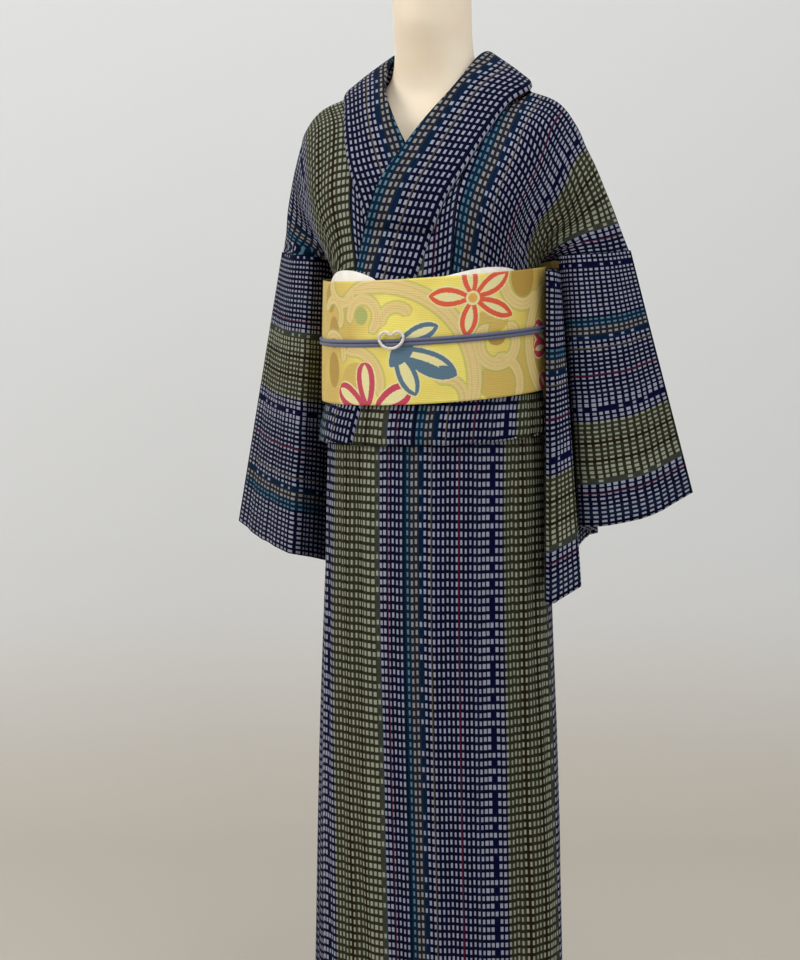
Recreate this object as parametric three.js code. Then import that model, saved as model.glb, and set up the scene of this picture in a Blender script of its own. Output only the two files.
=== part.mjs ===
// A tsumugi kimono dressed on a limbless dress form, with its belt set.
// Millimetres, +Z up. The front faces -Y and the wearer's left is +X.
// Every cloth is a thin wall through smooth rows of points worked out from the tables below.
import * as THREE from 'three';
import { mergeVertices } from 'three/addons/utils/BufferGeometryUtils.js';

// ---- driving dimensions -------------------------------------------------------------------
const CLOTH = 1.2;            // wall of one layer of tsumugi
const COLLAR_CLOTH = 2.4;     // the collar is a strip folded on itself
const BELT_CLOTH = 2.4;       // woven obi with its core
const SEAM_GAP = 0.3;
const OKUMI_WIDTH = 150;
const FRONT_WIDTH = 230;      // front panel between its okumi seam and its side seam
const BACK_SEAM_U = -75;      // centre back, counted across the bolt from the okumi seam
const NECK_U = 25;            // where the neck cut meets the shoulder
const SHOULDER_U = 265;       // the sleeve seam
const FRONT_SEAM_S = 8;       // skirt: the left okumi seam, along the girth from centre front
const SIDE_SEAM_S = FRONT_SEAM_S + FRONT_WIDTH;
const HEM_Z = 15;
const SKIRT_TOP_Z = 982;
const FOLD_Z = 905;           // lower edge of the waist fold (ohashori)
const FOLD_TILT = [0.04, 0.02];
const BELT_TOP_Z = 1109;
const BELT_BOTTOM_Z = 959;
const BELT_TILT = [0.05, 0.058];
const CORD_RADIUS = 2.1;
const CORD_Z = 1034;          // between the two cords
const SKIRT_LAP = 4;          // how far the right side lies inside the left where they overlap
const WAIST_LAP = 6.5;
const CHEST_LAP = 9;
const COLLAR_LIFT = 3.6;      // the collar lies this far outside the panel it is sewn to
const SASH_CLOTH = 2.6;
const SASH_OUT = 6.7;         // the sash lies this far outside the bodice

// ---- sections -----------------------------------------------------------------------------
// Half-ellipses about the axis: half width, depth in front and depth behind.
const SKIRT_SECTIONS = [
  { z: 15, side: 171, front: 92, back: 130 },
  { z: 240, side: 168, front: 98, back: 136 },
  { z: 440, side: 161, front: 110, back: 142 },
  { z: 690, side: 150, front: 122, back: 142 },
  { z: 900, side: 141, front: 122, back: 118 },
  { z: 965, side: 129, front: 114, back: 86 },
  { z: 1010, side: 122, front: 108, back: 76 },
];
const WAIST_SECTIONS = [        // outer layer of the bodice and the waist fold
  { z: 895, side: 149, front: 131, back: 128 },
  { z: 930, side: 146, front: 131, back: 118 },
  { z: 960, side: 138, front: 127, back: 94 },
  { z: 1030, side: 134, front: 128, back: 84 },
  { z: 1125, side: 132, front: 126, back: 84 },
];
const BELT_SECTIONS = [
  { z: 955, side: 146, front: 135, back: 99 },
  { z: 1030, side: 144, front: 137, back: 97 },
  { z: 1115, side: 142, front: 138, back: 95.5 },
];
// The bodice of one side, as lengthwise threads of the bolt: u is counted from the okumi seam.
const FRONT_THREADS = [
  { u: 0, shoulder: [101, 2, 1335], chest: [91, -46, 1296],
    bust: [79, -84, 1254], under: [72, -111, 1190] },
  { u: 60, shoulder: [156, 2, 1316], chest: [147, -40, 1288],
    bust: [133, -72, 1243], under: [120, -92, 1183] },
  { u: 100, shoulder: [182, 1, 1287], chest: [172, -30, 1262],
    bust: [157, -52, 1222], under: [140, -66, 1172] },
  { u: 130, shoulder: [193, 9, 1260], chest: [185, -20, 1240],
    bust: [170, -36, 1203], under: [149, -42, 1160] },
  { u: 160, shoulder: [204, 18, 1234], chest: [196, -8, 1218],
    bust: [178, -14, 1186], under: [152, -20, 1152] },
  { u: 200, shoulder: [217, 29, 1196], chest: [207, 2, 1186],
    bust: [184, -2, 1165], under: [156, -4, 1143] },
  { u: 235, shoulder: [228, 38, 1164], chest: [214, 12, 1157],
    bust: [190, -8, 1146], under: [158, 0, 1133] },
  { u: 265, shoulder: [237, 46, 1137], chest: [219, 24, 1132],
    bust: [193, -6, 1130], under: [160, 3, 1127] },
];
const BACK_THREADS = [
  { u: -75, shoulder: [0, 93, 1296], blade: [0, 112, 1250], middle: [0, 112, 1190], low: [0, 100, 1146] },
  { u: -40, shoulder: [38, 87, 1298], blade: [42, 110, 1252],
    middle: [41, 110, 1190], low: [36, 98, 1146] },
  { u: -5, shoulder: [79, 69, 1311], blade: [82, 101, 1258],
    middle: [80, 104, 1192], low: [70, 92, 1146] },
  { u: 15, shoulder: [109, 34, 1333], blade: [108, 84, 1271],
    middle: [104, 98, 1198], low: [92, 87, 1146] },
  { u: 60, shoulder: [156, 2, 1316], blade: [150, 58, 1278],
    middle: [142, 86, 1208], low: [122, 76, 1147] },
  { u: 100, shoulder: [182, 1, 1287], blade: [177, 48, 1254],
    middle: [166, 76, 1196], low: [142, 64, 1146] },
  { u: 130, shoulder: [193, 9, 1260], blade: [189, 48, 1232],
    middle: [177, 70, 1184], low: [151, 56, 1141] },
  { u: 160, shoulder: [204, 18, 1234], blade: [201, 52, 1209],
    middle: [187, 68, 1170], low: [157, 50, 1134] },
  { u: 200, shoulder: [217, 29, 1196], blade: [214, 60, 1178],
    middle: [196, 68, 1151], low: [158, 46, 1134] },
  { u: 265, shoulder: [237, 46, 1137], blade: [229, 68, 1129],
    middle: [202, 66, 1130], low: [160, 42, 1126] },
];
// The collar, from the centre back over the left shoulder to its end: its neck edge and sewn edge.
const COLLAR_RUN = [
  { at: 0, neck: [0, 106, 1346], sewn: [0, 99, 1296] },
  { at: 1, neck: [34, 98, 1352], sewn: [42, 92, 1300] },
  { at: 2, neck: [57, 70, 1368], sewn: [86, 70, 1318] },
  { at: 3, neck: [61, 30, 1380], sewn: [114, 32, 1340] },
  { at: 4, neck: [58, -6, 1372], sewn: [122, -4, 1333] },
  { at: 5, neck: [46, -52, 1335], sewn: [108, -36, 1315] },
  { at: 6, neck: [22, -83, 1296], sewn: [93, -70, 1278] },
  { at: 7, neck: [0, -102, 1260], sewn: [76, -100, 1236] },
  { at: 8, neck: [-31, -117, 1207], sewn: [53, -116, 1190] },
];
// Under and below the obi: where the okumi seam, the collar's sewn edge and its neck edge run,
// along the girth from centre front.
const WAIST_LINES = [
  { z: 900, seam: 22, sewn: -64, neck: -148 },
  { z: 930, seam: 24, sewn: -56, neck: -142 },
  { z: 960, seam: 28, sewn: -46, neck: -128 },
  { z: 1030, seam: 48, sewn: -10, neck: -96 },
  { z: 1125, seam: 69, sewn: 28, neck: -58 },
];
// The sleeves in plan, from the fold that hangs outside (t = 0) to the sewn bottom edge: the front
// and back layers where the sleeve meets the body, the path of both layers at the cuff, and half
// the room between them there. x is counted outward.
const LEFT_SLEEVE = [
  { t: 0, front: [239, 46, 1134], back: [239, 48, 1134], cuff: [318, 62, 838], room: 2 },
  { t: 60, front: [219, 21, 1131], back: [230, 69, 1128], cuff: [272, 30, 812], room: 12 },
  { t: 115, front: [193, -9, 1129], back: [203, 69, 1127], cuff: [226, 8, 800], room: 11 },
  { t: 150, front: [174, -9, 1128], back: [186, 58, 1125], cuff: [198, 3, 797], room: 6 },
  { t: 200, front: [162, 0, 1126], back: [172, 50, 1122], cuff: [187, 48, 788], room: 4.5 },
  { t: 255, front: [162, 64, 1118], back: [172, 70, 1116], cuff: [181, 98, 776], room: 4.5 },
  { t: 280, front: [159, 78, 1114], back: [166, 86, 1114], cuff: [171, 112, 770], room: 4.5 },
  { t: 305, front: [155, 70, 1112], back: [147, 70, 1112], cuff: [162, 98, 765], room: 4.5 },
  { t: 360, front: [158, 30, 1112], back: [150, 30, 1112], cuff: [160, 40, 745], room: 4.5 },
  { t: 410, front: [159, -8, 1112], back: [151, -8, 1112], cuff: [161, -18, 722], room: 4.5 },
  { t: 430, front: [163, -22, 1110], back: [156, -28, 1110], cuff: [166, -36, 704], room: 4.5 },
  { t: 450, front: [168, -24, 1108], back: [168, -31, 1108], cuff: [182, -39, 712], room: 4.5 },
  { t: 490, front: [172, -25, 1106], back: [172, -28, 1106], cuff: [206, -38, 728], room: 2 },
];
const RIGHT_SLEEVE = [
  { t: 0, front: [239, 46, 1134], back: [239, 48, 1134], cuff: [316, 62, 770], room: 2 },
  { t: 50, front: [221, 24, 1131], back: [232, 70, 1129], cuff: [272, 40, 758], room: 12 },
  { t: 100, front: [199, -2, 1129], back: [210, 72, 1127], cuff: [230, 10, 750], room: 12 },
  { t: 145, front: [176, -11, 1128], back: [190, 62, 1125], cuff: [201, -14, 744], room: 6 },
  { t: 165, front: [166, -8, 1127], back: [176, 55, 1123], cuff: [190, -10, 740], room: 4.5 },
  { t: 205, front: [162, 18, 1126], back: [171, 54, 1122], cuff: [185, 24, 732], room: 4.5 },
  { t: 270, front: [162, 76, 1118], back: [170, 80, 1116], cuff: [178, 88, 716], room: 4.5 },
  { t: 305, front: [157, 92, 1114], back: [164, 100, 1114], cuff: [171, 118, 712], room: 4.5 },
  { t: 330, front: [153, 84, 1112], back: [145, 84, 1112], cuff: [162, 104, 712], room: 4.5 },
  { t: 390, front: [157, 50, 1112], back: [149, 50, 1112], cuff: [161, 66, 716], room: 4.5 },
  { t: 430, front: [159, 34, 1110], back: [152, 34, 1110], cuff: [161, 36, 722], room: 2 },
];
// The obi's drum and tail at the back, in profile.
const DRUM_HALF_WIDTH = 150;
const DRUM_PROFILE = [
  { y: 103, z: 1075 }, { y: 104, z: 1120 }, { y: 112, z: 1143 }, { y: 130, z: 1151 }, { y: 150, z: 1138 },
  { y: 163, z: 1095 }, { y: 171, z: 1020 }, { y: 172, z: 950 }, { y: 165, z: 890 }, { y: 156, z: 873 },
  { y: 147, z: 880 }, { y: 142, z: 930 }, { y: 138, z: 990 },
];
const TAIL_PROFILE = [
  { y: 122, z: 1000 }, { y: 131, z: 940 }, { y: 137, z: 880 }, { y: 141, z: 840 }, { y: 145, z: 805 },
];
// The crepe sash: how far it shows above the obi, along the girth, and which way each crest leans.
const SASH_RISES = [
  { from: -116, to: -21, rise: 12.5, lean: 0.8 },
  { from: 43, to: 152, rise: 6, lean: 1.5 },
];
// The ring on the cords: half width, half height and notch of its heart-shaped line, and its own radius.
const BROOCH = { z: CORD_Z + 4.5, halfWidth: 15, halfHeight: 11, radius: 1.8, notch: 6, lean: 0.12 };
// The dress form: half-ellipse sections from its flat underside to the top of its neck.
const FORM_SECTIONS = [
  { z: 800, side: 118, front: 88, back: 84 },
  { z: 840, side: 126, front: 100, back: 94 },
  { z: 890, side: 128, front: 106, back: 96 },
  { z: 950, side: 119, front: 102, back: 76 },
  { z: 1030, side: 108, front: 98, back: 66 },
  { z: 1110, side: 117, front: 100, back: 76 },
  { z: 1190, side: 132, front: 92, back: 88 },
  { z: 1250, side: 136, front: 76, back: 88 },
  { z: 1290, side: 124, front: 60, back: 78 },
  { z: 1322, side: 86, front: 48, back: 62 },
  { z: 1345, side: 58, front: 50, back: 48 },
  { z: 1376, side: 49, front: 62, back: 36 },
  { z: 1410, side: 47, front: 78, back: 20 },
  { z: 1456, side: 47, front: 86, back: 10 },
];
const POLE_RADIUS = 14;
const POLE_Y = 5;
const BASE = { halfWidth: 138, halfDepth: 84, y: 12, height: 12, edge: 2, roundness: 0.55 };
const FORM_SIDES = 48;
const BASE_SIDES = 40;
const POLE_SIDES = 24;

// ---- small tools --------------------------------------------------------------------------
const V = (p) => new THREE.Vector3(...p);
const clamp01 = (t) => Math.min(1, Math.max(0, t));
const ease = (t) => clamp01(t) ** 2 * (3 - 2 * clamp01(t));
const mix = (a, b, t) => a + (b - a) * t;
const range = (n) => [...Array(n).keys()];
const spread = (n, from, to) => range(n).map((i) => mix(from, to, i / (n - 1)));

// A table's columns at a value of its key, smoothly between its rows.
function rowAt(table, key, value) {
  const last = table.length - 1;
  const k = Math.min(last - 1, Math.max(0, table.findIndex((row) => row[key] >= value) - 1));
  const start = value >= table[last][key] ? last - 1 : k;
  const t = clamp01((value - table[start][key]) / (table[start + 1][key] - table[start][key]));
  return start + t;
}
function smoothColumn(table, column, place) {
  const curve = new THREE.SplineCurve(table.map((row) => new THREE.Vector2(row[column], 0)));
  return curve.getPoint(clamp01(place / (table.length - 1))).x;
}
function sectionAt(sections, z) {
  const place = rowAt(sections, 'z', z);
  return ['side', 'front', 'back'].map((column) => smoothColumn(sections, column, place));
}
// Points along a smooth curve through the given points: so many in each stretch between them.
function smoothRun(points, pieces) {
  const curve = new THREE.CatmullRomCurve3(points, false, 'catmullrom', 0.5);
  const last = points.length - 1;
  const places = range(last).flatMap((k) => range(pieces).map((n) => (k + n / pieces) / last));
  return [...places, 1].map((t) => curve.getPoint(t));
}
// A named point of a table at a value of its key.
function tablePoint(table, key, value, name) {
  const place = rowAt(table, key, value) / (table.length - 1);
  const curve = new THREE.CatmullRomCurve3(table.map((row) => V(row[name])), false, 'catmullrom', 0.5);
  return curve.getPoint(place);
}

// A point on a section, s millimetres along the girth from centre front, moved out by `out`.
function girthPoint(sections, s, z, out = 0) {
  const [side, front, back] = sectionAt(sections, z);
  const step = Math.PI / 180;
  let angle = 0;
  let run = 0;
  while (angle < Math.PI) {
    const depth = angle < Math.PI / 2 ? front : back;
    const piece = Math.hypot(side * Math.cos(angle), depth * Math.sin(angle)) * step;
    if (run + piece >= Math.abs(s)) {
      angle += step * (Math.abs(s) - run) / piece;
      break;
    }
    run += piece;
    angle += step;
  }
  angle = Math.min(angle, Math.PI);
  const depth = angle < Math.PI / 2 ? front : back;
  const x = side * Math.sin(angle);
  const y = -depth * Math.cos(angle);
  const normal = new THREE.Vector2(x / side ** 2, y / depth ** 2).normalize();
  return new THREE.Vector3(Math.sign(s || 1) * (x + normal.x * out), y + normal.y * out, z);
}
function halfGirth(sections, z) {
  const [side, front, back] = sectionAt(sections, z);
  const quarter = (a, b) => spread(91, 0, Math.PI / 2)
    .reduce((sum, t) => sum + Math.hypot(a * Math.cos(t), b * Math.sin(t)) * Math.PI / 180, 0);
  return quarter(side, front) + quarter(side, back) - (side + (front + back) / 2) * Math.PI / 180;
}

// ---- a closed wall through grids of points, joined where their points meet --------------------
function wall(grids, thickness, out = 0) {
  const points = [];
  const seen = new Map();
  const id = (p) => {
    const key = p.toArray().map((v) => Math.round(v * 50)).join();
    if (!seen.has(key)) seen.set(key, points.push(p) - 1);
    return seen.get(key);
  };
  const faces = [];
  for (const grid of grids) {
    for (let i = 0; i < grid.length - 1; i++) {
      for (let j = 0; j < grid[i].length - 1; j++) {
        const [a, b, c, d] = [grid[i][j], grid[i][j + 1], grid[i + 1][j + 1], grid[i + 1][j]].map(id);
        if (a !== b && b !== c && a !== c) faces.push([a, b, c]);
        if (a !== c && c !== d && a !== d) faces.push([a, c, d]);
      }
    }
  }
  const normals = points.map(() => new THREE.Vector3());
  const edges = new Map();
  for (const face of faces) {
    const [p, q, r] = face.map((k) => points[k]);
    const normal = q.clone().sub(p).cross(r.clone().sub(p));
    face.forEach((k) => normals[k].add(normal));
    face.forEach((k, n) => {
      const next = face[(n + 1) % 3];
      if (!edges.delete(`${next} ${k}`)) edges.set(`${k} ${next}`, [k, next]);
    });
  }
  const position = [1, -1].flatMap((side) => points.flatMap((p, k) =>
    p.clone().addScaledVector(normals[k].normalize(), out + side * thickness / 2).toArray()));
  const below = points.length;
  const index = [];
  faces.forEach(([a, b, c]) => index.push(a, b, c, below + a, below + c, below + b));
  for (const [a, b] of edges.values()) index.push(b, a, below + a, b, below + a, below + b);
  const geometry = new THREE.BufferGeometry();
  geometry.setAttribute('position', new THREE.Float32BufferAttribute(position, 3));
  geometry.setIndex(index);
  return faceOut(geometry);
}

// Turns every triangle over if the closed mesh is inside out.
function faceOut(geometry) {
  const p = geometry.getAttribute('position');
  const index = geometry.getIndex().array;
  let volume = 0;
  const [a, b, c] = [new THREE.Vector3(), new THREE.Vector3(), new THREE.Vector3()];
  for (let k = 0; k < index.length; k += 3) {
    [a, b, c].forEach((v, n) => v.fromBufferAttribute(p, index[k + n]));
    volume += a.dot(b.cross(c));
  }
  if (volume < 0) {
    for (let k = 0; k < index.length; k += 3) [index[k], index[k + 1]] = [index[k + 1], index[k]];
  }
  return geometry;
}

// A solid through rings of points, with flat caps.
function loft(rings) {
  const count = rings[0].length;
  const position = rings.flat().flatMap((p) => p.toArray());
  const index = [];
  for (let i = 0; i < rings.length - 1; i++) {
    for (let j = 0; j < count; j++) {
      const [a, b] = [i * count + j, i * count + (j + 1) % count];
      index.push(a, b, b + count, a, b + count, a + count);
    }
  }
  for (const [ring, flip] of [[0, true], [rings.length - 1, false]]) {
    const centre = new THREE.Vector3();
    rings[ring].forEach((p) => centre.add(p));
    position.push(...centre.divideScalar(count).toArray());
    const hub = position.length / 3 - 1;
    for (let j = 0; j < count; j++) {
      const [a, b] = [ring * count + j, ring * count + (j + 1) % count];
      index.push(...(flip ? [b, a, hub] : [a, b, hub]));
    }
  }
  const geometry = new THREE.BufferGeometry();
  geometry.setAttribute('position', new THREE.Float32BufferAttribute(position, 3));
  geometry.setIndex(index);
  return faceOut(mergeVertices(geometry));
}

const group = new THREE.Group();
function add(name, geometry, material) {
  const mesh = new THREE.Mesh(geometry, material);
  mesh.name = name;
  group.add(mesh);
}
const kasuri = new THREE.MeshStandardMaterial({ color: 0x1b2346, roughness: 0.75 });
const beltSilk = new THREE.MeshStandardMaterial({ color: 0xdcbf5c, roughness: 0.6 });
const crepe = new THREE.MeshStandardMaterial({ color: 0xf2ece0, roughness: 0.6 });
const braid = new THREE.MeshStandardMaterial({ color: 0x70748c, roughness: 0.6 });
const pearl = new THREE.MeshStandardMaterial({ color: 0xf0ece4, roughness: 0.25 });
const skin = new THREE.MeshStandardMaterial({ color: 0xf0d7b9, roughness: 0.5 });
const steel = new THREE.MeshStandardMaterial({ color: 0x9a9a98, roughness: 0.4, metalness: 0.8 });
const mirrored = (p, side) => new THREE.Vector3(p.x * side, p.y, p.z);

// ---- the skirt ----------------------------------------------------------------------------
const SKIRT_HEIGHTS = [HEM_Z, 130, 240, 340, 440, 560, 690, 800, 870, 915, 950, SKIRT_TOP_Z];
const FULL_GIRTH = 1000;        // further round than any section: the centre back
// `from` and `to` are counted along the girth; the right side lies inside where it is overlapped.
function skirtPanel(name, from, to, columns, side) {
  const lap = (s) => (side > 0 ? 0 : -SKIRT_LAP * ease((205 - s) / 50));
  const grid = SKIRT_HEIGHTS.map((z) => {
    const half = halfGirth(SKIRT_SECTIONS, z) - SEAM_GAP;
    return spread(columns, Math.min(from, half), Math.min(to, half))
      .map((s) => mirrored(girthPoint(SKIRT_SECTIONS, s, z, lap(s)), side));
  });
  add(name, wall([grid], CLOTH), kasuri);
}
for (const [name, side] of [['left', 1], ['right', -1]]) {
  skirtPanel(`skirt_${name}_front`, FRONT_SEAM_S + SEAM_GAP, SIDE_SEAM_S - SEAM_GAP, 9, side);
  skirtPanel(`skirt_${name}_back`, SIDE_SEAM_S + SEAM_GAP, FULL_GIRTH, 8, side);
  skirtPanel(`skirt_${name}_okumi`, FRONT_SEAM_S - OKUMI_WIDTH, FRONT_SEAM_S - SEAM_GAP, 6, side);
}

// ---- the bodice and the waist fold ----------------------------------------------------------
const waistLine = (line, z) => smoothColumn(WAIST_LINES, line, rowAt(WAIST_LINES, 'z', z));
// Where a thread of the front lies along the girth: past the bust it is taken in to the side seam.
function frontGirth(u, z) {
  const seam = waistLine('seam', z);
  const eased = 140;
  return u < eased ? seam + u : mix(seam + eased, SIDE_SEAM_S, clamp01((u - eased) / (FRONT_WIDTH - eased)));
}
function backGirth(u, z) {
  const half = halfGirth(WAIST_SECTIONS, z) - SEAM_GAP;
  return mix(half, SIDE_SEAM_S + 2 * SEAM_GAP, clamp01((u - BACK_SEAM_U) / (FRONT_WIDTH - BACK_SEAM_U)));
}
// One thread below the bust: under the obi, down the outside of the waist fold, round its lower
// edge and up inside it. `girth` gives its place at a height; `side` is -1 on the right.
// The side seams draw the layers together, so the right side's lap ends before them.
const UNDER_OBI = [1108, 1060, 1010];
const WAIST_ENDS = { hidden: 0, cut: 1, folded: 2 };
function waistThread(girth, side, { end = WAIST_ENDS.folded, out = 0 } = {}) {
  const tilted = (z, s) => {
    const p = girthPoint(WAIST_SECTIONS, s, z);
    const share = ease((z - 960) / 60);
    const tilt = [0, 1].map((k) => mix(FOLD_TILT[k], BELT_TILT[k], share));
    return z + tilt[0] * p.x * side + tilt[1] * p.y;
  };
  const lap = (s, z) => (side > 0 ? 0 : WAIST_LAP * ease((185 - s) / 30) * ease((z - 962) / 40));
  const outer = (z, extra = 0) => {
    const s = girth(z);
    return girthPoint(WAIST_SECTIONS, s, z, out + extra - lap(s, z)).setZ(tilted(z, s));
  };
  const inner = (z, gap) => {
    const s = girth(z);
    const share = halfGirth(SKIRT_SECTIONS, z) / halfGirth(WAIST_SECTIONS, z);
    return girthPoint(SKIRT_SECTIONS, s * share, z, gap).setZ(tilted(z, s));
  };
  const rows = UNDER_OBI.map((z) => outer(z));
  if (end === WAIST_ENDS.hidden) return rows;
  rows.push(outer(962), outer(935), outer(FOLD_Z + 8));
  if (end === WAIST_ENDS.cut) return [...rows, outer(FOLD_Z + 1)];
  return [...rows, outer(FOLD_Z - 1, -2.6), inner(FOLD_Z + 5, 4.2), inner(FOLD_Z + 38, 4.2)];
}
// Keeps the right side inside the left one where the fronts cross on the chest.
function crossed(p, side) {
  const place = mirrored(p, side);
  if (side < 0) place.y += CHEST_LAP * ease((place.x + 105) / 35) * ease((1300 - place.z) / 30);
  return place;
}
const transpose = (columns) => columns[0].map((_, k) => columns.map((column) => column[k]));
const FRONT_U = [NECK_U, 60, 95, 130, 155, 180, 205, 235, SHOULDER_U];
const NECK_BACK_U = [BACK_SEAM_U + SEAM_GAP, -40, -10, 12];
const HIDDEN_FRONT_THREADS = 3; // of the right front, that end under the obi
const stationU = (u, least, most) => mix(least, most, (u - NECK_U) / (SHOULDER_U - NECK_U));

function frontThread(u, side, end) {
  const bodice = [
    tablePoint(FRONT_THREADS, 'u', u, 'shoulder'),
    tablePoint(FRONT_THREADS, 'u', stationU(u, 3, SHOULDER_U), 'chest'),
    tablePoint(FRONT_THREADS, 'u', stationU(u, SEAM_GAP, SHOULDER_U), 'bust'),
    tablePoint(FRONT_THREADS, 'u', stationU(u, SEAM_GAP, SHOULDER_U), 'under'),
  ].map((p) => crossed(p, side));
  const girth = (z) => frontGirth(stationU(u, SEAM_GAP, FRONT_WIDTH - SEAM_GAP), z);
  const waist = waistThread(girth, side, { end }).map((p) => mirrored(p, side));
  return [...smoothRun([...bodice, waist[0]], 2), ...waist.slice(1)];
}
function backThread(u, side) {
  const bodice = [tablePoint(u < NECK_U ? BACK_THREADS : FRONT_THREADS, 'u', u, 'shoulder'),
    ...['blade', 'middle', 'low'].map((name) => tablePoint(BACK_THREADS, 'u', u, name))];
  if (u < BACK_SEAM_U + 1) bodice.forEach((p) => { p.x = SEAM_GAP; });
  const share = (u - BACK_SEAM_U) / (SHOULDER_U - BACK_SEAM_U);
  const girth = (z) => backGirth(mix(BACK_SEAM_U, FRONT_WIDTH, share), z);
  const waist = waistThread(girth, side).map((p) => mirrored(p, side));
  return [...smoothRun([...bodice.map((p) => mirrored(p, side)), waist[0]], 2), ...waist.slice(1)];
}
for (const [name, side] of [['left', 1], ['right', -1]]) {
  const back = transpose([...NECK_BACK_U, ...FRONT_U].map((u) => backThread(u, side))).reverse();
  const front = (threads, end) => transpose(threads.map((u) => frontThread(u, side, end)));
  const fronts = side > 0
    ? [front(FRONT_U, WAIST_ENDS.folded)]
    : [front(FRONT_U.slice(0, HIDDEN_FRONT_THREADS + 1), WAIST_ENDS.hidden),
      front(FRONT_U.slice(HIDDEN_FRONT_THREADS), WAIST_ENDS.folded)];
  add(`bodice_${name}`, wall([back, ...fronts], CLOTH), kasuri);
}

// ---- the overlap panels above the waist -----------------------------------------------------
const UNDER_COLLAR = 8;         // what of a panel's edge is inside the collar
const OKUMI_TOP_GAP = 1.2;
const OKUMI_SHARES = [0, 0.25, 0.5, 0.75, 1];
const collarRow = (at) => COLLAR_RUN.find((row) => row.at === at);
// The overlap panel starts between the sixth and eighth collar stations; the row at the sixth only
// leads the curve in.
function okumiThread(share, side) {
  const threads = [['chest', 6], ['bust', 7], ['under', 8]].map(([station, at]) => {
    const seam = V(FRONT_THREADS[0][station]);
    const edge = V(collarRow(at).sewn).add(new THREE.Vector3(0, COLLAR_LIFT, 0));
    const inward = edge.clone().sub(seam).setLength(UNDER_COLLAR);
    const seamSide = seam.add(new THREE.Vector3(-OKUMI_TOP_GAP, 0, 0));
    return crossed(edge.add(inward).lerp(seamSide, share), side);
  });
  const girth = (z) => mix(waistLine('sewn', z) - UNDER_COLLAR, waistLine('seam', z) - SEAM_GAP, share);
  const end = side > 0 ? WAIST_ENDS.folded : WAIST_ENDS.hidden;
  const waist = waistThread(girth, side, { end }).map((p) => mirrored(p, side));
  return [...smoothRun([...threads, waist[0]], 2).slice(2), ...waist.slice(1)];
}
for (const [name, side] of [['left', 1], ['right', -1]]) {
  add(`okumi_${name}`, wall([transpose(OKUMI_SHARES.map((t) => okumiThread(t, side)))], CLOTH), kasuri);
}

// ---- the collar and the over-collar ---------------------------------------------------------
const COLLAR_SHARES = [0, 0.2, 0.4, 0.6, 0.8, 1];
function collarThread(share, side) {
  const run = COLLAR_RUN.map((row) => crossed(V(row.neck).lerp(V(row.sewn), share), side));
  const girth = (z) => mix(waistLine('neck', z), waistLine('sewn', z), share);
  const end = side > 0 ? WAIST_ENDS.cut : WAIST_ENDS.hidden;
  const waist = waistThread(girth, side, { end, out: COLLAR_LIFT }).map((p) => mirrored(p, side));
  return [...smoothRun([...run, waist[0]], 2), ...waist.slice(1)];
}
const collarHalf = (side) => transpose(COLLAR_SHARES.map((t) => collarThread(t, side)));
const collarGrid = [...collarHalf(-1).reverse(), ...collarHalf(1).slice(1)];
add('collar', wall([collarGrid], COLLAR_CLOTH), kasuri);
// The over-collar is the collar's own rows as far as its end seam, moved out and drawn in at its edges.
const OVER_COLLAR_ROWS = 17;    // either way from the centre back
const OVER_COLLAR_SIDE = -1;    // the side of the grid that faces out
const OVER_COLLAR_OUT = (COLLAR_CLOTH + CLOTH) / 2 + SEAM_GAP;
const centreRow = collarHalf(-1).length - 1;
const overCollarGrid = collarGrid
  .slice(centreRow - OVER_COLLAR_ROWS, centreRow + OVER_COLLAR_ROWS + 1);
add('over_collar', wall([overCollarGrid], CLOTH, OVER_COLLAR_SIDE * OVER_COLLAR_OUT), kasuri);

// ---- the sleeves ------------------------------------------------------------------------------
const SLEEVE_COLUMNS = 7;
// A tube flat from front to back: up the front layer to the fold, down the back layer, and closed.
function sleeve(name, table, side) {
  const path = smoothRun(table.map((row) => V(row.cuff)), 2);
  const rooms = spread(path.length, 0, table.length - 1).map((k) => smoothColumn(table, 'room', k));
  const layer = (column, way) => smoothRun(table.map((row) => V(row[column])), 2).map((top, k) => {
    const ahead = path[Math.min(k + 1, path.length - 1)].clone().sub(path[Math.max(k - 1, 0)]).setZ(0);
    const across = new THREE.Vector3(-ahead.y, ahead.x, 0).setLength(way * rooms[k]);
    const cuff = path[k].clone().add(across);
    return spread(SLEEVE_COLUMNS, 0, 1).map((t) => mirrored(top.clone().lerp(cuff, t), side));
  });
  const front = layer('front', 1).reverse();
  add(name, wall([[...front, ...layer('back', -1), front[0]]], CLOTH), kasuri);
}
sleeve('sleeve_left', LEFT_SLEEVE, 1);
sleeve('sleeve_right', RIGHT_SLEEVE, -1);

// ---- the obi: band, drum and tail ---------------------------------------------------------------
const beltPoint = (sections, s, z, out = 0) => {
  const p = girthPoint(sections, s, z, out);
  return p.setZ(z + BELT_TILT[0] * p.x + BELT_TILT[1] * p.y);
};
// Places right round, from centre back to centre back, as shares of half the girth.
const AROUND = spread(49, -1, 1);
const ring = (sections, z, out = 0) => AROUND.map((t) => {
  const p = beltPoint(sections, t * halfGirth(sections, z), z, out);
  if (Math.abs(t) === 1) p.x = 0;
  return p;
});
add('obi_band', wall([spread(5, BELT_BOTTOM_Z, BELT_TOP_Z).map((z) => ring(BELT_SECTIONS, z))],
  BELT_CLOTH), beltSilk);
function backFold(name, profile, halfWidth, columns) {
  const run = smoothRun(profile.map((row) => V([0, row.y, row.z])), 3);
  add(name, wall([run.map((p) => spread(columns, -halfWidth, halfWidth).map((x) => V([x, p.y, p.z])))],
    BELT_CLOTH), beltSilk);
}
backFold('obi_drum', DRUM_PROFILE, DRUM_HALF_WIDTH, 5);
backFold('obi_tail', TAIL_PROFILE, DRUM_HALF_WIDTH - 2, 5);

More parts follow.
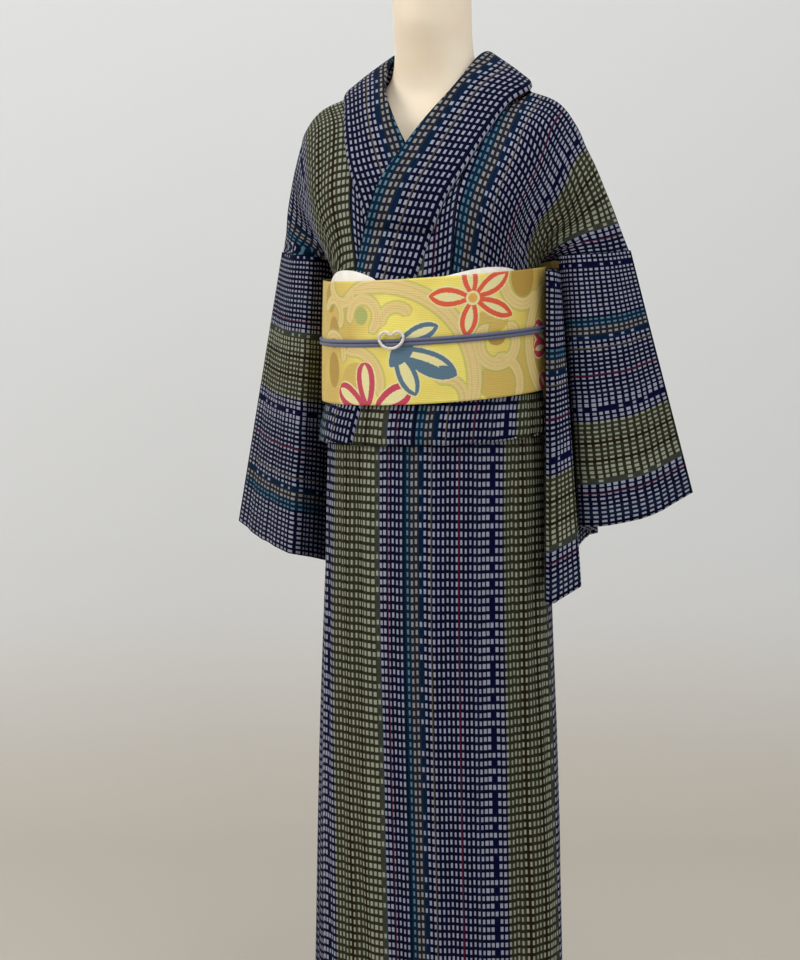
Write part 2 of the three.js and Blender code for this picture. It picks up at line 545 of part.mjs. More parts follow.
// ---- the sash above the obi -----------------------------------------------------------------------
const SASH_DEPTH = 26;          // what of it is inside the obi
const SASH_SUNK = -4;           // its top where it doesn't show
const sashRise = (s) => Math.max(SASH_SUNK, ...SASH_RISES.map(({ from, to, rise, lean }) => {
  const t = clamp01((s - from) / (to - from)) ** lean;
  return mix(SASH_SUNK, rise, (4 * t * (1 - t)) ** 0.75);
}));
add('obiage', wall([[0, 0.5, 1].map((share) => spread(97, -1, 1).map((t) => {
  const half = halfGirth(WAIST_SECTIONS, BELT_TOP_Z);
  const z = mix(BELT_TOP_Z - SASH_DEPTH, BELT_TOP_Z + sashRise(t * half), share);
  const p = beltPoint(WAIST_SECTIONS, t * half, z, SASH_OUT);
  if (Math.abs(t) === 1) p.x = 0;
  return p;
}))], SASH_CLOTH), crepe);

// ---- the cord pair and its brooch -------------------------------------------------------------------
function closedTube(points, radius, sides) {
  const curve = new THREE.CatmullRomCurve3(points, true, 'catmullrom', 0.5);
  const tube = new THREE.TubeGeometry(curve, points.length * 2, radius, sides, true);
  tube.deleteAttribute('uv');
  tube.deleteAttribute('normal');
  return faceOut(mergeVertices(tube, 0.001));
}
for (const [name, step] of [['upper', 1], ['lower', -1]]) {
  const z = CORD_Z + step * (CORD_RADIUS + SEAM_GAP / 2);
  const out = BELT_CLOTH / 2 + CORD_RADIUS + SEAM_GAP;
  add(`obijime_${name}`, closedTube(ring(BELT_SECTIONS, z, out).slice(0, -1), CORD_RADIUS, 8), braid);
}
add('obidome', closedTube(spread(25, 0, 2 * Math.PI).slice(0, -1).map((t) => {
  const across = BROOCH.halfWidth * Math.sin(t) * (1 + BROOCH.lean * Math.cos(t));
  const notch = Math.cos(t) > 0 ? BROOCH.notch * Math.exp(-((Math.sin(t) / 0.3) ** 2)) : 0;
  const up = BROOCH.halfHeight * Math.cos(t) - notch;
  const out = BELT_CLOTH / 2 + 2 * CORD_RADIUS + BROOCH.radius + 2 * SEAM_GAP;
  return beltPoint(BELT_SECTIONS, across, BROOCH.z + up, out);
}), BROOCH.radius, 10), pearl);

// ---- the dress form, its pole and base ----------------------------------------------------------------
const round = (n, place) => range(n).map((k) => V(place(k / n * 2 * Math.PI)));
const formRing = (z) => {
  const [side, front, back] = sectionAt(FORM_SECTIONS, z);
  return round(FORM_SIDES, (t) => [side * Math.sin(t), -(Math.cos(t) > 0 ? front : back) * Math.cos(t), z]);
};
const formTop = FORM_SECTIONS[FORM_SECTIONS.length - 1].z;
add('dress_form', loft(spread(44, FORM_SECTIONS[0].z, formTop).map(formRing)), skin);
const squared = (v) => Math.sign(v) * Math.abs(v) ** BASE.roundness;
const slabRing = (inset, z) => round(BASE_SIDES, (t) => [(BASE.halfWidth - inset) * squared(Math.sin(t)),
  BASE.y - (BASE.halfDepth - inset) * squared(Math.cos(t)), z]);
add('stand_base', loft([slabRing(BASE.edge, 0), slabRing(0, BASE.edge), slabRing(0, BASE.height - BASE.edge),
  slabRing(BASE.edge, BASE.height)]), steel);
const poleRing = (z) => round(POLE_SIDES,
  (t) => [POLE_RADIUS * Math.sin(t), POLE_Y - POLE_RADIUS * Math.cos(t), z]);
add('stand_pole', loft([poleRing(BASE.height), poleRing(FORM_SECTIONS[0].z)]), steel);

export default group;
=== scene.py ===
"""A tsumugi kimono with its belt, dressed on a limbless form: the looks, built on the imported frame.

Millimetres are used for the cloth's own tables; everything handed to Blender is in metres.
The front faces -Y and the wearer's left is +X.
"""

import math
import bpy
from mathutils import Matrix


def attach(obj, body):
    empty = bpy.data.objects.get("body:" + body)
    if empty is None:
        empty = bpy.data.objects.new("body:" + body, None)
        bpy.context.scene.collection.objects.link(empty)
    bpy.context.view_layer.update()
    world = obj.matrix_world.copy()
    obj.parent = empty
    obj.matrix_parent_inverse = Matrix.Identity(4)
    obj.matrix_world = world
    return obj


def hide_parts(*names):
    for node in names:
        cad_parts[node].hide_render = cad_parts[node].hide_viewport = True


bl_info = {
    "name": "Dressed kimono",
    "version": (1, 0, 0),
    "blender": (4, 5, 0),
    "location": "3D View > Sidebar > Kimono",
    "description": "Builds a kimono, its belt and the form that wears it",
    "category": "Add Mesh",
}

import bmesh
import bpy
import numpy as np
from bpy.props import FloatProperty, FloatVectorProperty, PointerProperty
from mathutils import Matrix, Vector

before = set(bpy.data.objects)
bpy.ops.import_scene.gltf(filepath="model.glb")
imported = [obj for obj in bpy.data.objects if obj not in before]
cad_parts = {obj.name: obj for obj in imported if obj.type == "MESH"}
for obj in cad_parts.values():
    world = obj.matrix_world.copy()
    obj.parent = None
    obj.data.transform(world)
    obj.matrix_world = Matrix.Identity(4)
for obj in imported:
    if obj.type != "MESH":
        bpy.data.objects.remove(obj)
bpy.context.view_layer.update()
MM = 0.001

# ---- the garment's sizes, as in the frame's own source -------------------------------------------
SEAM_GAP = 0.3
OKUMI_WIDTH = 150
FRONT_WIDTH = 230
BACK_SEAM_U = -75
NECK_U = 25
SHOULDER_U = 265
SLEEVE_WIDTH = 330
FRONT_SEAM_S = 8
SIDE_SEAM_S = FRONT_SEAM_S + FRONT_WIDTH
HEM_Z = 15
SKIRT_TOP_Z = 982
FOLD_Z = 905
FOLD_TILT = (0.04, 0.02)
BELT_TOP_Z = 1109
BELT_BOTTOM_Z = 959
BELT_TILT = (0.05, 0.058)
CORD_RADIUS = 2.1
CORD_Z = 1034
CORD_SET_IN = 1.2               # how far the cords press into the belt
BELT_HALF_WALL = 1.2
CORD_BED = BELT_HALF_WALL - CORD_SET_IN
SKIRT_LAP = 4
WAIST_LAP = 6.5
CHEST_LAP = 9
COLLAR_LIFT = 3.6
SASH_OUT = 6.7
UNDER_COLLAR = 8

# Half-ellipse sections: height, half width, depth in front, depth behind.
SKIRT_SECTIONS = [(15, 171, 92, 130), (240, 168, 98, 136), (440, 161, 110, 142), (690, 150, 122, 142),
                  (900, 141, 122, 118), (965, 129, 114, 86), (1010, 122, 108, 76)]
WAIST_SECTIONS = [(895, 149, 131, 128), (930, 146, 131, 118), (960, 138, 127, 94),
                  (1030, 134, 128, 84), (1125, 132, 126, 84)]
BELT_SECTIONS = [(955, 146, 135, 99), (1030, 144, 137, 97), (1115, 142, 138, 95.5)]
FORM_SECTIONS = [(800, 118, 88, 84), (840, 126, 100, 94), (890, 128, 106, 96), (950, 119, 102, 76),
                 (1030, 108, 98, 66), (1110, 117, 100, 76), (1190, 132, 92, 88), (1250, 136, 76, 88),
                 (1290, 124, 60, 78), (1322, 86, 48, 62), (1345, 58, 50, 48), (1376, 49, 62, 36),
                 (1410, 47, 78, 20), (1456, 47, 86, 10)]
# The bodice's threads: place across the bolt, then the points at shoulder, chest, bust and under it.
FRONT_THREADS = [
    (0, (101, 2, 1335), (91, -46, 1296), (79, -84, 1254), (72, -111, 1190)),
    (60, (156, 2, 1316), (147, -40, 1288), (133, -72, 1243), (120, -92, 1183)),
    (100, (182, 1, 1287), (172, -30, 1262), (157, -52, 1222), (140, -66, 1172)),
    (130, (193, 9, 1260), (185, -20, 1240), (170, -36, 1203), (149, -42, 1160)),
    (160, (204, 18, 1234), (196, -8, 1218), (178, -14, 1186), (152, -20, 1152)),
    (200, (217, 29, 1196), (207, 2, 1186), (184, -2, 1165), (156, -4, 1143)),
    (235, (228, 38, 1164), (214, 12, 1157), (190, -8, 1146), (158, 0, 1133)),
    (265, (237, 46, 1137), (219, 24, 1132), (193, -6, 1130), (160, 3, 1127)),
]
# The same behind: shoulder, blade, middle of the back and low.
BACK_THREADS = [
    (-75, (0, 93, 1296), (0, 112, 1250), (0, 112, 1190), (0, 100, 1146)),
    (-40, (38, 87, 1298), (42, 110, 1252), (41, 110, 1190), (36, 98, 1146)),
    (-5, (79, 69, 1311), (82, 101, 1258), (80, 104, 1192), (70, 92, 1146)),
    (15, (109, 34, 1333), (108, 84, 1271), (104, 98, 1198), (92, 87, 1146)),
    (60, (156, 2, 1316), (150, 58, 1278), (142, 86, 1208), (122, 76, 1147)),
    (100, (182, 1, 1287), (177, 48, 1254), (166, 76, 1196), (142, 64, 1146)),
    (130, (193, 9, 1260), (189, 48, 1232), (177, 70, 1184), (151, 56, 1141)),
    (160, (204, 18, 1234), (201, 52, 1209), (187, 68, 1170), (157, 50, 1134)),
    (200, (217, 29, 1196), (214, 60, 1178), (196, 68, 1151), (158, 46, 1134)),
    (265, (237, 46, 1137), (229, 68, 1129), (202, 66, 1130), (160, 42, 1126)),
]
# The collar from the centre back over the left shoulder: its neck edge and its sewn edge.
COLLAR_RUN = [
    ((0, 106, 1346), (0, 99, 1296)), ((34, 98, 1352), (42, 92, 1300)), ((57, 70, 1368), (86, 70, 1318)),
    ((61, 30, 1380), (114, 32, 1340)), ((58, -6, 1372), (122, -4, 1333)), ((46, -52, 1335), (108, -36, 1315)),
    ((22, -83, 1296), (93, -70, 1278)), ((0, -102, 1260), (76, -100, 1236)),
    ((-31, -117, 1207), (53, -116, 1190)),
]
# Height, then the okumi seam, the collar's sewn edge and its neck edge along the girth.
WAIST_LINES = [(900, 22, -64, -148), (930, 24, -56, -142), (960, 28, -46, -128), (1030, 48, -10, -96),
               (1125, 69, 28, -58)]
# The sleeves in plan: place along the cloth from the outer fold, front and back layers at the body,
# both layers' path at the cuff, and half the room between them there.
LEFT_SLEEVE = [
    (0, (239, 46, 1134), (239, 48, 1134), (318, 62, 838), 2),
    (60, (219, 21, 1131), (230, 69, 1128), (272, 30, 812), 12),
    (115, (193, -9, 1129), (203, 69, 1127), (226, 8, 800), 11),
    (150, (174, -9, 1128), (186, 58, 1125), (198, 3, 797), 6),
    (200, (162, 0, 1126), (172, 50, 1122), (187, 48, 788), 4.5),
    (255, (162, 64, 1118), (172, 70, 1116), (181, 98, 776), 4.5),
    (280, (159, 78, 1114), (166, 86, 1114), (171, 112, 770), 4.5),
    (305, (155, 70, 1112), (147, 70, 1112), (162, 98, 765), 4.5),
    (360, (158, 30, 1112), (150, 30, 1112), (160, 40, 745), 4.5),
    (410, (159, -8, 1112), (151, -8, 1112), (161, -18, 722), 4.5),
    (430, (163, -22, 1110), (156, -28, 1110), (166, -36, 704), 4.5),
    (450, (168, -24, 1108), (168, -31, 1108), (182, -39, 712), 4.5),
    (490, (172, -25, 1106), (172, -28, 1106), (206, -38, 728), 2),
]
RIGHT_SLEEVE = [
    (0, (239, 46, 1134), (239, 48, 1134), (316, 62, 770), 2),
    (50, (221, 24, 1131), (232, 70, 1129), (272, 40, 758), 12),
    (100, (199, -2, 1129), (210, 72, 1127), (230, 10, 750), 12),
    (145, (176, -11, 1128), (190, 62, 1125), (201, -14, 744), 6),
    (165, (166, -8, 1127), (176, 55, 1123), (190, -10, 740), 4.5),
    (205, (162, 18, 1126), (171, 54, 1122), (185, 24, 732), 4.5),
    (270, (162, 76, 1118), (170, 80, 1116), (178, 88, 716), 4.5),
    (305, (157, 92, 1114), (164, 100, 1114), (171, 118, 712), 4.5),
    (330, (153, 84, 1112), (145, 84, 1112), (162, 104, 712), 4.5),
    (390, (157, 50, 1112), (149, 50, 1112), (161, 66, 716), 4.5),
    (430, (159, 34, 1110), (152, 34, 1110), (161, 36, 722), 2),
]
# The belt's drum and tail at the back: their outlines in depth and height.
DRUM_HALF_WIDTH = 150
DRUM_CROWN = 4                  # how far their sides stand nearer the body than their middle
DRUM_DESIGN = (60, -20)         # where their middle and first edge lie on the belt's design
DRUM_PROFILE = [(103, 1075), (104, 1120), (112, 1143), (130, 1151), (150, 1138), (163, 1095), (171, 1020),
                (172, 950), (165, 890), (156, 873), (147, 880), (142, 930), (138, 990)]
TAIL_PROFILE = [(122, 1000), (131, 940), (137, 880), (141, 840), (145, 805)]
# Where the crepe sash shows above the belt: from, to, how far, and which way its crest leans.
SASH_RISES = [(-116, -21, 12.5, 0.8), (43, 152, 6, 1.5)]
# Soft hollows of the belt: place along it, half width, height, half height, depth.
BELT_SWELLS = [(-96, 20, 1000, 40, -1.2), (60, 40, 1075, 30, 0.6), (130, 26, 990, 45, -1.0),
               (-40, 30, 985, 26, 0.5), (200, 30, 1040, 60, -1.2), (-190, 34, 1020, 60, -1.0)]
BROOCH_Z = CORD_Z + 4.5
BROOCH_HALF_WIDTH = 15
BROOCH_HALF_HEIGHT = 11
BROOCH_RADIUS = 1.8
BROOCH_NOTCH = 6
FORM_EDGE = 6                   # how far the form's neck rounds over at the top


# ---- curves and sections -------------------------------------------------------------------------
def ease(t):
    t = np.clip(t, 0, 1)
    return t * t * (3 - 2 * t)


def mix(a, b, t):
    return a + (b - a) * t


def through(points, places, level_ends=False):
    """Smooth curve through the points, at places counted in points."""
    points = np.asarray(points, float)
    places = np.clip(np.asarray(places, float), 0, len(points) - 1)
    first = points[0] if level_ends else 2 * points[0] - points[1]
    last = points[-1] if level_ends else 2 * points[-1] - points[-2]
    p = np.concatenate([[first], points, [last]])
    k = np.minimum(np.floor(places).astype(int), len(points) - 2)
    t = (places - k).reshape(-1, *[1] * (points.ndim - 1))
    a, b, c, d = p[k], p[k + 1], p[k + 2], p[k + 3]
    return 0.5 * (2 * b + (c - a) * t + (2 * a - 5 * b + 4 * c - d) * t ** 2
                  + (3 * b - a - 3 * c + d) * t ** 3)


def run_through(points, pieces):
    return through(points, np.linspace(0, len(points) - 1, (len(points) - 1) * pieces + 1))


def column(table, index, keys):
    """A table's column at values of its first column, smoothly between its rows."""
    places = np.interp(keys, [row[0] for row in table], range(len(table)))
    return through([row[index] for row in table], places, level_ends=np.isscalar(table[0][index]))


def section(sections, z):
    return [float(column(sections, k, [z])[0]) for k in (1, 2, 3)]


def arc_runs(side, front, back):
    """Half way round a section from centre front: the angles, and how far the arc has run at each."""
    angle = np.linspace(0, np.pi, 181)
    middle = (angle[1:] + angle[:-1]) / 2
    depth = np.where(middle < np.pi / 2, front, back)
    pieces = np.hypot(side * np.cos(middle), depth * np.sin(middle)) * np.pi / 180
    return angle, np.concatenate([[0], np.cumsum(pieces)])


def half_girth(sections, z):
    return arc_runs(*section(sections, z))[1][-1]


def girth_points(sections, s, z, out=0):
    """Points on a section at places s along the girth from centre front, moved out."""
    side, front, back = section(sections, z)
    angle, runs = arc_runs(side, front, back)
    s = np.asarray(s, float)
    a = np.interp(np.abs(s), runs, angle)
    depth = np.where(a < np.pi / 2, front, back)
    x, y = side * np.sin(a), -depth * np.cos(a)
    normal = np.stack([x / side ** 2, y / depth ** 2])
    normal /= np.linalg.norm(normal, axis=0)
    sign = np.where(s < 0, -1, 1)
    return np.stack([sign * (x + normal[0] * out), y + normal[1] * out, np.full(s.shape, float(z))], -1)


def mirrored(points, side):
    return points * np.array([side, 1, 1])


def along(rows):
    """How far each point lies down its own thread from the first row."""
    steps = np.linalg.norm(np.diff(rows, axis=0), axis=2)
    return np.concatenate([np.zeros((1, rows.shape[1])), np.cumsum(steps, axis=0)])


# ---- the garment's grids: rows by columns of points, with u across the bolt and v along it -------
def outward(points, centre):
    """Unit normals of a grid that point away from the centre (x, y)."""
    down, across = np.gradient(points, axis=0), np.gradient(points, axis=1)
    normal = np.cross(across, down)
    normal /= np.maximum(np.linalg.norm(normal, axis=2, keepdims=True), 1e-9)
    away = points[..., :2] - np.asarray(centre)
    return normal if np.sum(normal[..., :2] * away) > 0 else -normal


def creased(points, offset, centre=(0, 10)):
    return points + outward(points, centre) * np.asarray(offset)[..., None]


def valley(off, width, ridge=0.6, reach=1.6):
    """A valley of depth 1 along a line, by how far a point is from it, with a low ridge beside it."""
    return ridge * np.exp(-(off / width - reach) ** 2) - np.exp(-(off / width) ** 2)


def fold_line(u, v, start, end, width, depth):
    """A crease along a line on the cloth, which fades at both ends."""
    (u0, v0), (u1, v1) = start, end
    length = math.hypot(u1 - u0, v1 - v0)
    t = ((u - u0) * (u1 - u0) + (v - v0) * (v1 - v0)) / length ** 2
    off = ((u - u0) * (v1 - v0) - (v - v0) * (u1 - u0)) / length
    return ease(t / 0.25) * ease((1 - t) / 0.25) * depth * valley(off, width)


# Flutes of the skirt: place along the girth from centre front, half width, depth, lowest and
# highest point, how far they wander and where that starts.
SKIRT_FLUTES = [
    (-66, 11, 2.6, 60, 900, 5, 0.0), (-92, 9, 1.5, 300, 880, 4, 1.2), (-30, 8, 1.1, 420, 890, 3, 2.0),
    (22, 10, 0.8, 150, 800, 3, 0.6), (60, 12, 0.7, 15, 520, 4, 3.0), (112, 10, 1.1, 380, 900, 4, 1.0),
    (150, 11, 2.2, 80, 905, 5, 2.4), (178, 9, 1.4, 240, 860, 4, 0.3), (205, 10, 1.6, 20, 700, 4, 4.0),
    (262, 12, 2.6, 60, 890, 6, 0.9), (305, 11, 2.0, 15, 780, 5, 2.7), (348, 13, 2.6, 200, 880, 5, 4.4),
    (390, 11, 1.8, 15, 640, 6, 1.6), (425, 12, 2.2, 120, 860, 5, 3.3),
    (-128, 8, 1.2, 60, 820, 3, 0.4), (-175, 10, 2.0, 40, 860, 5, 1.9), (-215, 11, 1.8, 150, 880, 4, 3.6),
    (-270, 12, 2.5, 15, 860, 6, 5.0), (-318, 11, 2.0, 120, 800, 5, 0.2), (-366, 12, 2.4, 40, 880, 5, 2.2),
    (-410, 12, 1.9, 15, 700, 5, 4.1),
]
SKIRT_RIPPLE = 572              # how far down a flute wanders once
SKIRT_DEEPER = 1.9
SKIRT_V = 1500                  # what a skirt's height and its place along the bolt add up to
# The left front below the belt: places along the girth, and where they lie on the bolt's chart.
LEFT_SKIRT_CHART = ((8, 28.5, 117.1, 154, 219, 238), (102, 122.55, 209.75, 244.5, 301, 316))
RIGHT_SKIRT_SEAM = 325          # chart place of the right front's seam
BACK_SEAM_CHART = {1: 25, -1: 395}


def skirt_offset(s, z):
    total = np.zeros(np.broadcast(s, z).shape)
    for place, width, depth, low, high, wander, phase in SKIRT_FLUTES:
        middle = place + wander * np.sin(z / SKIRT_RIPPLE * 2 * np.pi + phase)
        window = ease((z - low) / 120 + 0.5) * ease((high - z) / 90)
        deep = SKIRT_DEEPER * depth * (0.75 + 0.25 * np.sin(z / 97 + 2 * phase))
        total += window * deep * valley(s - middle, width, 0.55, 1.7)
    return total


def skirt_patch(panel, first, last, side, step=4.5):
    heights = np.concatenate([np.linspace(HEM_Z, 860, 110), np.linspace(866, SKIRT_TOP_Z, 16)])
    widest = max(min(last, half_girth(SKIRT_SECTIONS, z) - SEAM_GAP) for z in heights)
    count = int((widest - first) / step) + 2
    rows, us, charts = [], [], []
    for z in heights:
        half = half_girth(SKIRT_SECTIONS, z)
        end = min(last, half - SEAM_GAP)
        s = np.linspace(first, end, count)
        lap = 0 if side > 0 else -SKIRT_LAP * ease((205 - s) / 50)
        rows.append(girth_points(SKIRT_SECTIONS, s, z, lap + skirt_offset(side * s, z)))
        us.append(s)
        charts.append(skirt_chart(panel, side, s, half - s))
    s, z = np.array(us), np.repeat(heights[:, None], count, axis=1)
    return mirrored(np.array(rows), side), np.array(charts), SKIRT_V - z + 2.5 * np.sin(s / 70 + side)


def skirt_chart(panel, side, s, behind):
    """A skirt panel's place on the chart, from its place along the girth and from the centre back."""
    if panel == "okumi":
        return okumi_chart(FRONT_SEAM_S - s)
    if panel == "back":
        return BACK_SEAM_CHART[side] + side * behind
    return np.interp(s, *LEFT_SKIRT_CHART) if side > 0 else RIGHT_SKIRT_SEAM - (s - FRONT_SEAM_S)


def waist_line(index, z):
    return float(column(WAIST_LINES, index, [z])[0])


def front_girth(u, z):
    seam, eased = waist_line(1, z), 140
    taken_in = mix(seam + eased, SIDE_SEAM_S, np.clip((u - eased) / (FRONT_WIDTH - eased), 0, 1))
    return np.where(u < eased, seam + u, taken_in)


def back_girth(u, z):
    half = half_girth(WAIST_SECTIONS, z) - SEAM_GAP
    return mix(half, SIDE_SEAM_S + 2 * SEAM_GAP, (u - BACK_SEAM_U) / (FRONT_WIDTH - BACK_SEAM_U))


WAIST_HEIGHTS = (1108, 1060, 1010, 962, 935, FOLD_Z + 8)
TUCK_OUT = 4.2                  # how far the tuck's inner layer stands off the skirt


def waist_rows(girth, side, out=0, folded=True):
    """The threads under the belt, down the waist fold, round its edge and up inside it."""
    def tilted(points, z, s):
        base = girth_points(WAIST_SECTIONS, s, z)
        share = ease((z - 960) / 60)
        tilt = [mix(FOLD_TILT[k], BELT_TILT[k], share) for k in (0, 1)]
        points[..., 2] = z + tilt[0] * base[..., 0] * side + tilt[1] * base[..., 1]
        return points

    def outer(z, extra=0):
        s = girth(z)
        lap = 0 if side > 0 else WAIST_LAP * ease((185 - s) / 30) * ease((z - 962) / 40)
        return tilted(girth_points(WAIST_SECTIONS, s, z, out + extra - lap), z, s)

    def inner(z):
        s = girth(z)
        share = half_girth(SKIRT_SECTIONS, z) / half_girth(WAIST_SECTIONS, z)
        return tilted(girth_points(SKIRT_SECTIONS, s * share, z, TUCK_OUT), z, s)

    rows = [outer(z) for z in WAIST_HEIGHTS]
    if not folded:
        return rows + [outer(FOLD_Z + 1)]
    return rows + [outer(FOLD_Z - 1, -2.6), inner(FOLD_Z + 5), inner(FOLD_Z + 38)]


def crossed(points, side):
    """Keeps the right side inside the left one where the fronts cross on the chest."""
    points = mirrored(points, side)
    if side < 0:
        points[..., 1] += CHEST_LAP * ease((points[..., 0] + 105) / 35) * ease((1300 - points[..., 2]) / 30)
    return points


def station_u(u, least, most):
    return mix(least, most, (u - NECK_U) / (SHOULDER_U - NECK_U))


PIECES = 5                      # rows between two stations of a thread
HIDDEN_ROWS = 6 * PIECES        # rows of the right front down to where it ends under the belt
# Creases of the bodice, as (start, end, width, depth) in u and distance below the shoulder.
LEFT_CREASES = [
    ((168, 60), (120, 235), 9, 4.6), ((205, 50), (178, 215), 8, 5.6), ((238, 40), (222, 170), 7, 4.4),
    ((120, 150), (88, 262), 8, 2.6), ((60, 40), (52, 170), 9, 1.4), ((188, 140), (150, 262), 7, 3.6),
]
RIGHT_CREASES = [
    ((175, 60), (128, 230), 9, 4.4), ((206, 70), (170, 220), 8, 5.6), ((240, 50), (214, 180), 7, 4.4),
    ((100, 110), (78, 240), 9, 2.0), ((62, 60), (70, 190), 8, 1.4), ((140, 40), (112, 160), 9, 1.6),
]
BACK_CREASES = [
    ((150, -70), (100, -220), 10, 3.0), ((200, -60), (170, -190), 9, 3.2), ((30, -80), (20, -200), 10, 1.6),
    ((90, -120), (60, -230), 9, 2.0), ((238, -40), (226, -150), 7, 2.4),
]
# Ripples of the waist fold: place along the girth, half width, depth.
WAIST_RIPPLES = [(-118, 9, 2.4), (-92, 7, 1.3), (-40, 12, 0.9), (36, 14, 0.8), (98, 10, 1.2),
                 (152, 9, 1.8), (190, 8, 2.0), (240, 10, 2.2), (300, 12, 1.6), (-150, 7, 2.2),
                 (-190, 9, 1.8), (-250, 10, 2.2), (-310, 12, 1.6)]


WAIST_RADIUS = 135


def waist_offset(points):
    """Soft upright ripples below the belt, from each point's own place."""
    s = WAIST_RADIUS * np.arctan2(points[..., 0], -points[..., 1])
    total = sum(depth * valley(s - place, width) for place, width, depth in WAIST_RIPPLES)
    return ease((968 - points[..., 2]) / 25) * total


def finished_threads(stations, girth, side, out=0, folded=True):
    rows = waist_rows(girth, side, out, folded)
    return run_through(np.stack([*stations, *[mirrored(row, side) for row in rows]]), PIECES)


def front_threads(us, side):
    stations = [crossed(column(FRONT_THREADS, k, station_u(us, least, SHOULDER_U)), side)
                for k, least in ((1, NECK_U), (2, 3), (3, SEAM_GAP), (4, SEAM_GAP))]
    stations[0] = mirrored(column(FRONT_THREADS, 1, us), side)
    sewn = station_u(us, SEAM_GAP, FRONT_WIDTH - SEAM_GAP)
    return finished_threads(stations, lambda z: front_girth(sewn, z), side)


def back_threads(us, side):
    shoulder = np.where((us < NECK_U)[:, None], column(BACK_THREADS, 1, us), column(FRONT_THREADS, 1, us))
    stations = [shoulder] + [column(BACK_THREADS, k, us) for k in (2, 3, 4)]
    for row in stations:
        row[us < BACK_SEAM_U + 1, 0] = SEAM_GAP
    scaled = mix(BACK_SEAM_U, FRONT_WIDTH, (us - BACK_SEAM_U) / (SHOULDER_U - BACK_SEAM_U))
    stations = [mirrored(row, side) for row in stations]
    return finished_threads(stations, lambda z: back_girth(scaled, z), side)


# Where the threads lie on the bolt's chart. On the left front it is given at some threads, by station
# from the shoulder down; the right front is straight and the back goes on from the shoulder.
CHART_THREADS = (25, 50, 75, 100, 140, 180, 220, 265)
LEFT_CHART = [(0, (121.5, 146, 170.6, 197, 234.5, 264, 293.5, 331)),
              (1, (98, 121.6, 147.6, 174.5, 222, 256.3, 290, 331)),
              (2, (90, 113.2, 137.8, 163.4, 216.5, 257.3, 295.8, 331)),
              (3, (95, 118.7, 144, 170, 226.2, 263.5, 299.2, 331)),
              (4, (98, 124.4, 147.8, 172.3, 223.4, 261.2, 298, 331)),
              (7, (97, 120.6, 144.1, 167.5, 205, 239.4, 268.4, 300))]
RIGHT_CHART = ((25, 100, 210, 265), (295, 223.4, 122.5, 73))
LEVEL_V = 1400                  # below the belt: what a height and its place along the bolt add up to


def shoulder_chart(us, side):
    known = (CHART_THREADS, LEFT_CHART[0][1]) if side > 0 else RIGHT_CHART
    return np.interp(us, *known) + side * np.minimum(us - NECK_U, 0)


def left_chart(us, rows):
    places = np.interp(np.arange(rows) / PIECES, [row[0] for row in LEFT_CHART], range(len(LEFT_CHART)))
    return np.array([np.interp(us, CHART_THREADS, row)
                     for row in through([row[1] for row in LEFT_CHART], places)])


def measured_below(chart, points, way):
    """Below the chest the stripes keep their own width, counted from the first thread."""
    steps = np.linalg.norm(np.diff(points, axis=1), axis=2)
    widths = np.concatenate([np.zeros((len(points), 1)), np.cumsum(steps, axis=1)], axis=1)
    return mix(np.broadcast_to(chart, widths.shape), chart[0] + way * widths,
               ease((1150 - points[..., 2]) / 120))


def levelled(v, z):
    """Below the belt the rows of dots lie level, so the place along the bolt follows the height."""
    inside = np.arange(len(z))[:, None] > z.argmin(axis=0)
    level = LEVEL_V - np.where(inside, 2 * z.min(axis=0) - z, z)
    return mix(v, level, ease((1100 - z) / 135))


def with_creases(points, u, v, lines):
    offset = sum(fold_line(u, v, *line) for line in lines)
    offset = offset * ease((points[..., 2] - 1112) / 25) * ease((SHOULDER_U - u) / 26)
    return creased(points, offset + waist_offset(points))


def bodice_patches(side):
    front_u = np.linspace(NECK_U, SHOULDER_U, 49)
    back_u = np.concatenate([np.linspace(BACK_SEAM_U + SEAM_GAP, NECK_U - 5, 20), front_u])
    patches = []
    for us, points, creases, way in (
            (back_u, back_threads(back_u, side), BACK_CREASES, -1),
            (front_u, front_threads(front_u, side), LEFT_CREASES if side > 0 else RIGHT_CREASES, 1)):
        v = along(points)
        lifted = with_creases(points, np.repeat(us[None], len(points), axis=0), way * v, creases)
        lifted = mix(points, lifted, ease(np.arange(len(points)) / 4)[:, None, None])
        if way > 0 and side > 0:
            chart = left_chart(us, len(points))
        else:
            chart = measured_below(shoulder_chart(us, side), points, -way * side)
        patches.append((lifted, chart, way * levelled(v, points[..., 2])))
    if side > 0:
        return patches
    back, front = patches
    cut = int(np.argmax(front_u >= 130))
    hidden, shown = (slice(0, HIDDEN_ROWS + 1), slice(0, cut + 1)), (slice(None), slice(cut, None))
    return [back] + [tuple(grid[k] for grid in front) for k in (hidden, shown)]


OKUMI_SEAM_CHART = 333.65
OKUMI_NEAR = 36.7               # past this far from the seam, the stripes lie wider apart
OKUMI_WIDER = 0.88


def okumi_chart(across):
    """An overlap panel's place on the chart, from how far a thread is from the seam."""
    near = np.minimum(across, OKUMI_NEAR)
    return OKUMI_SEAM_CHART - near - OKUMI_WIDER * (across - near)


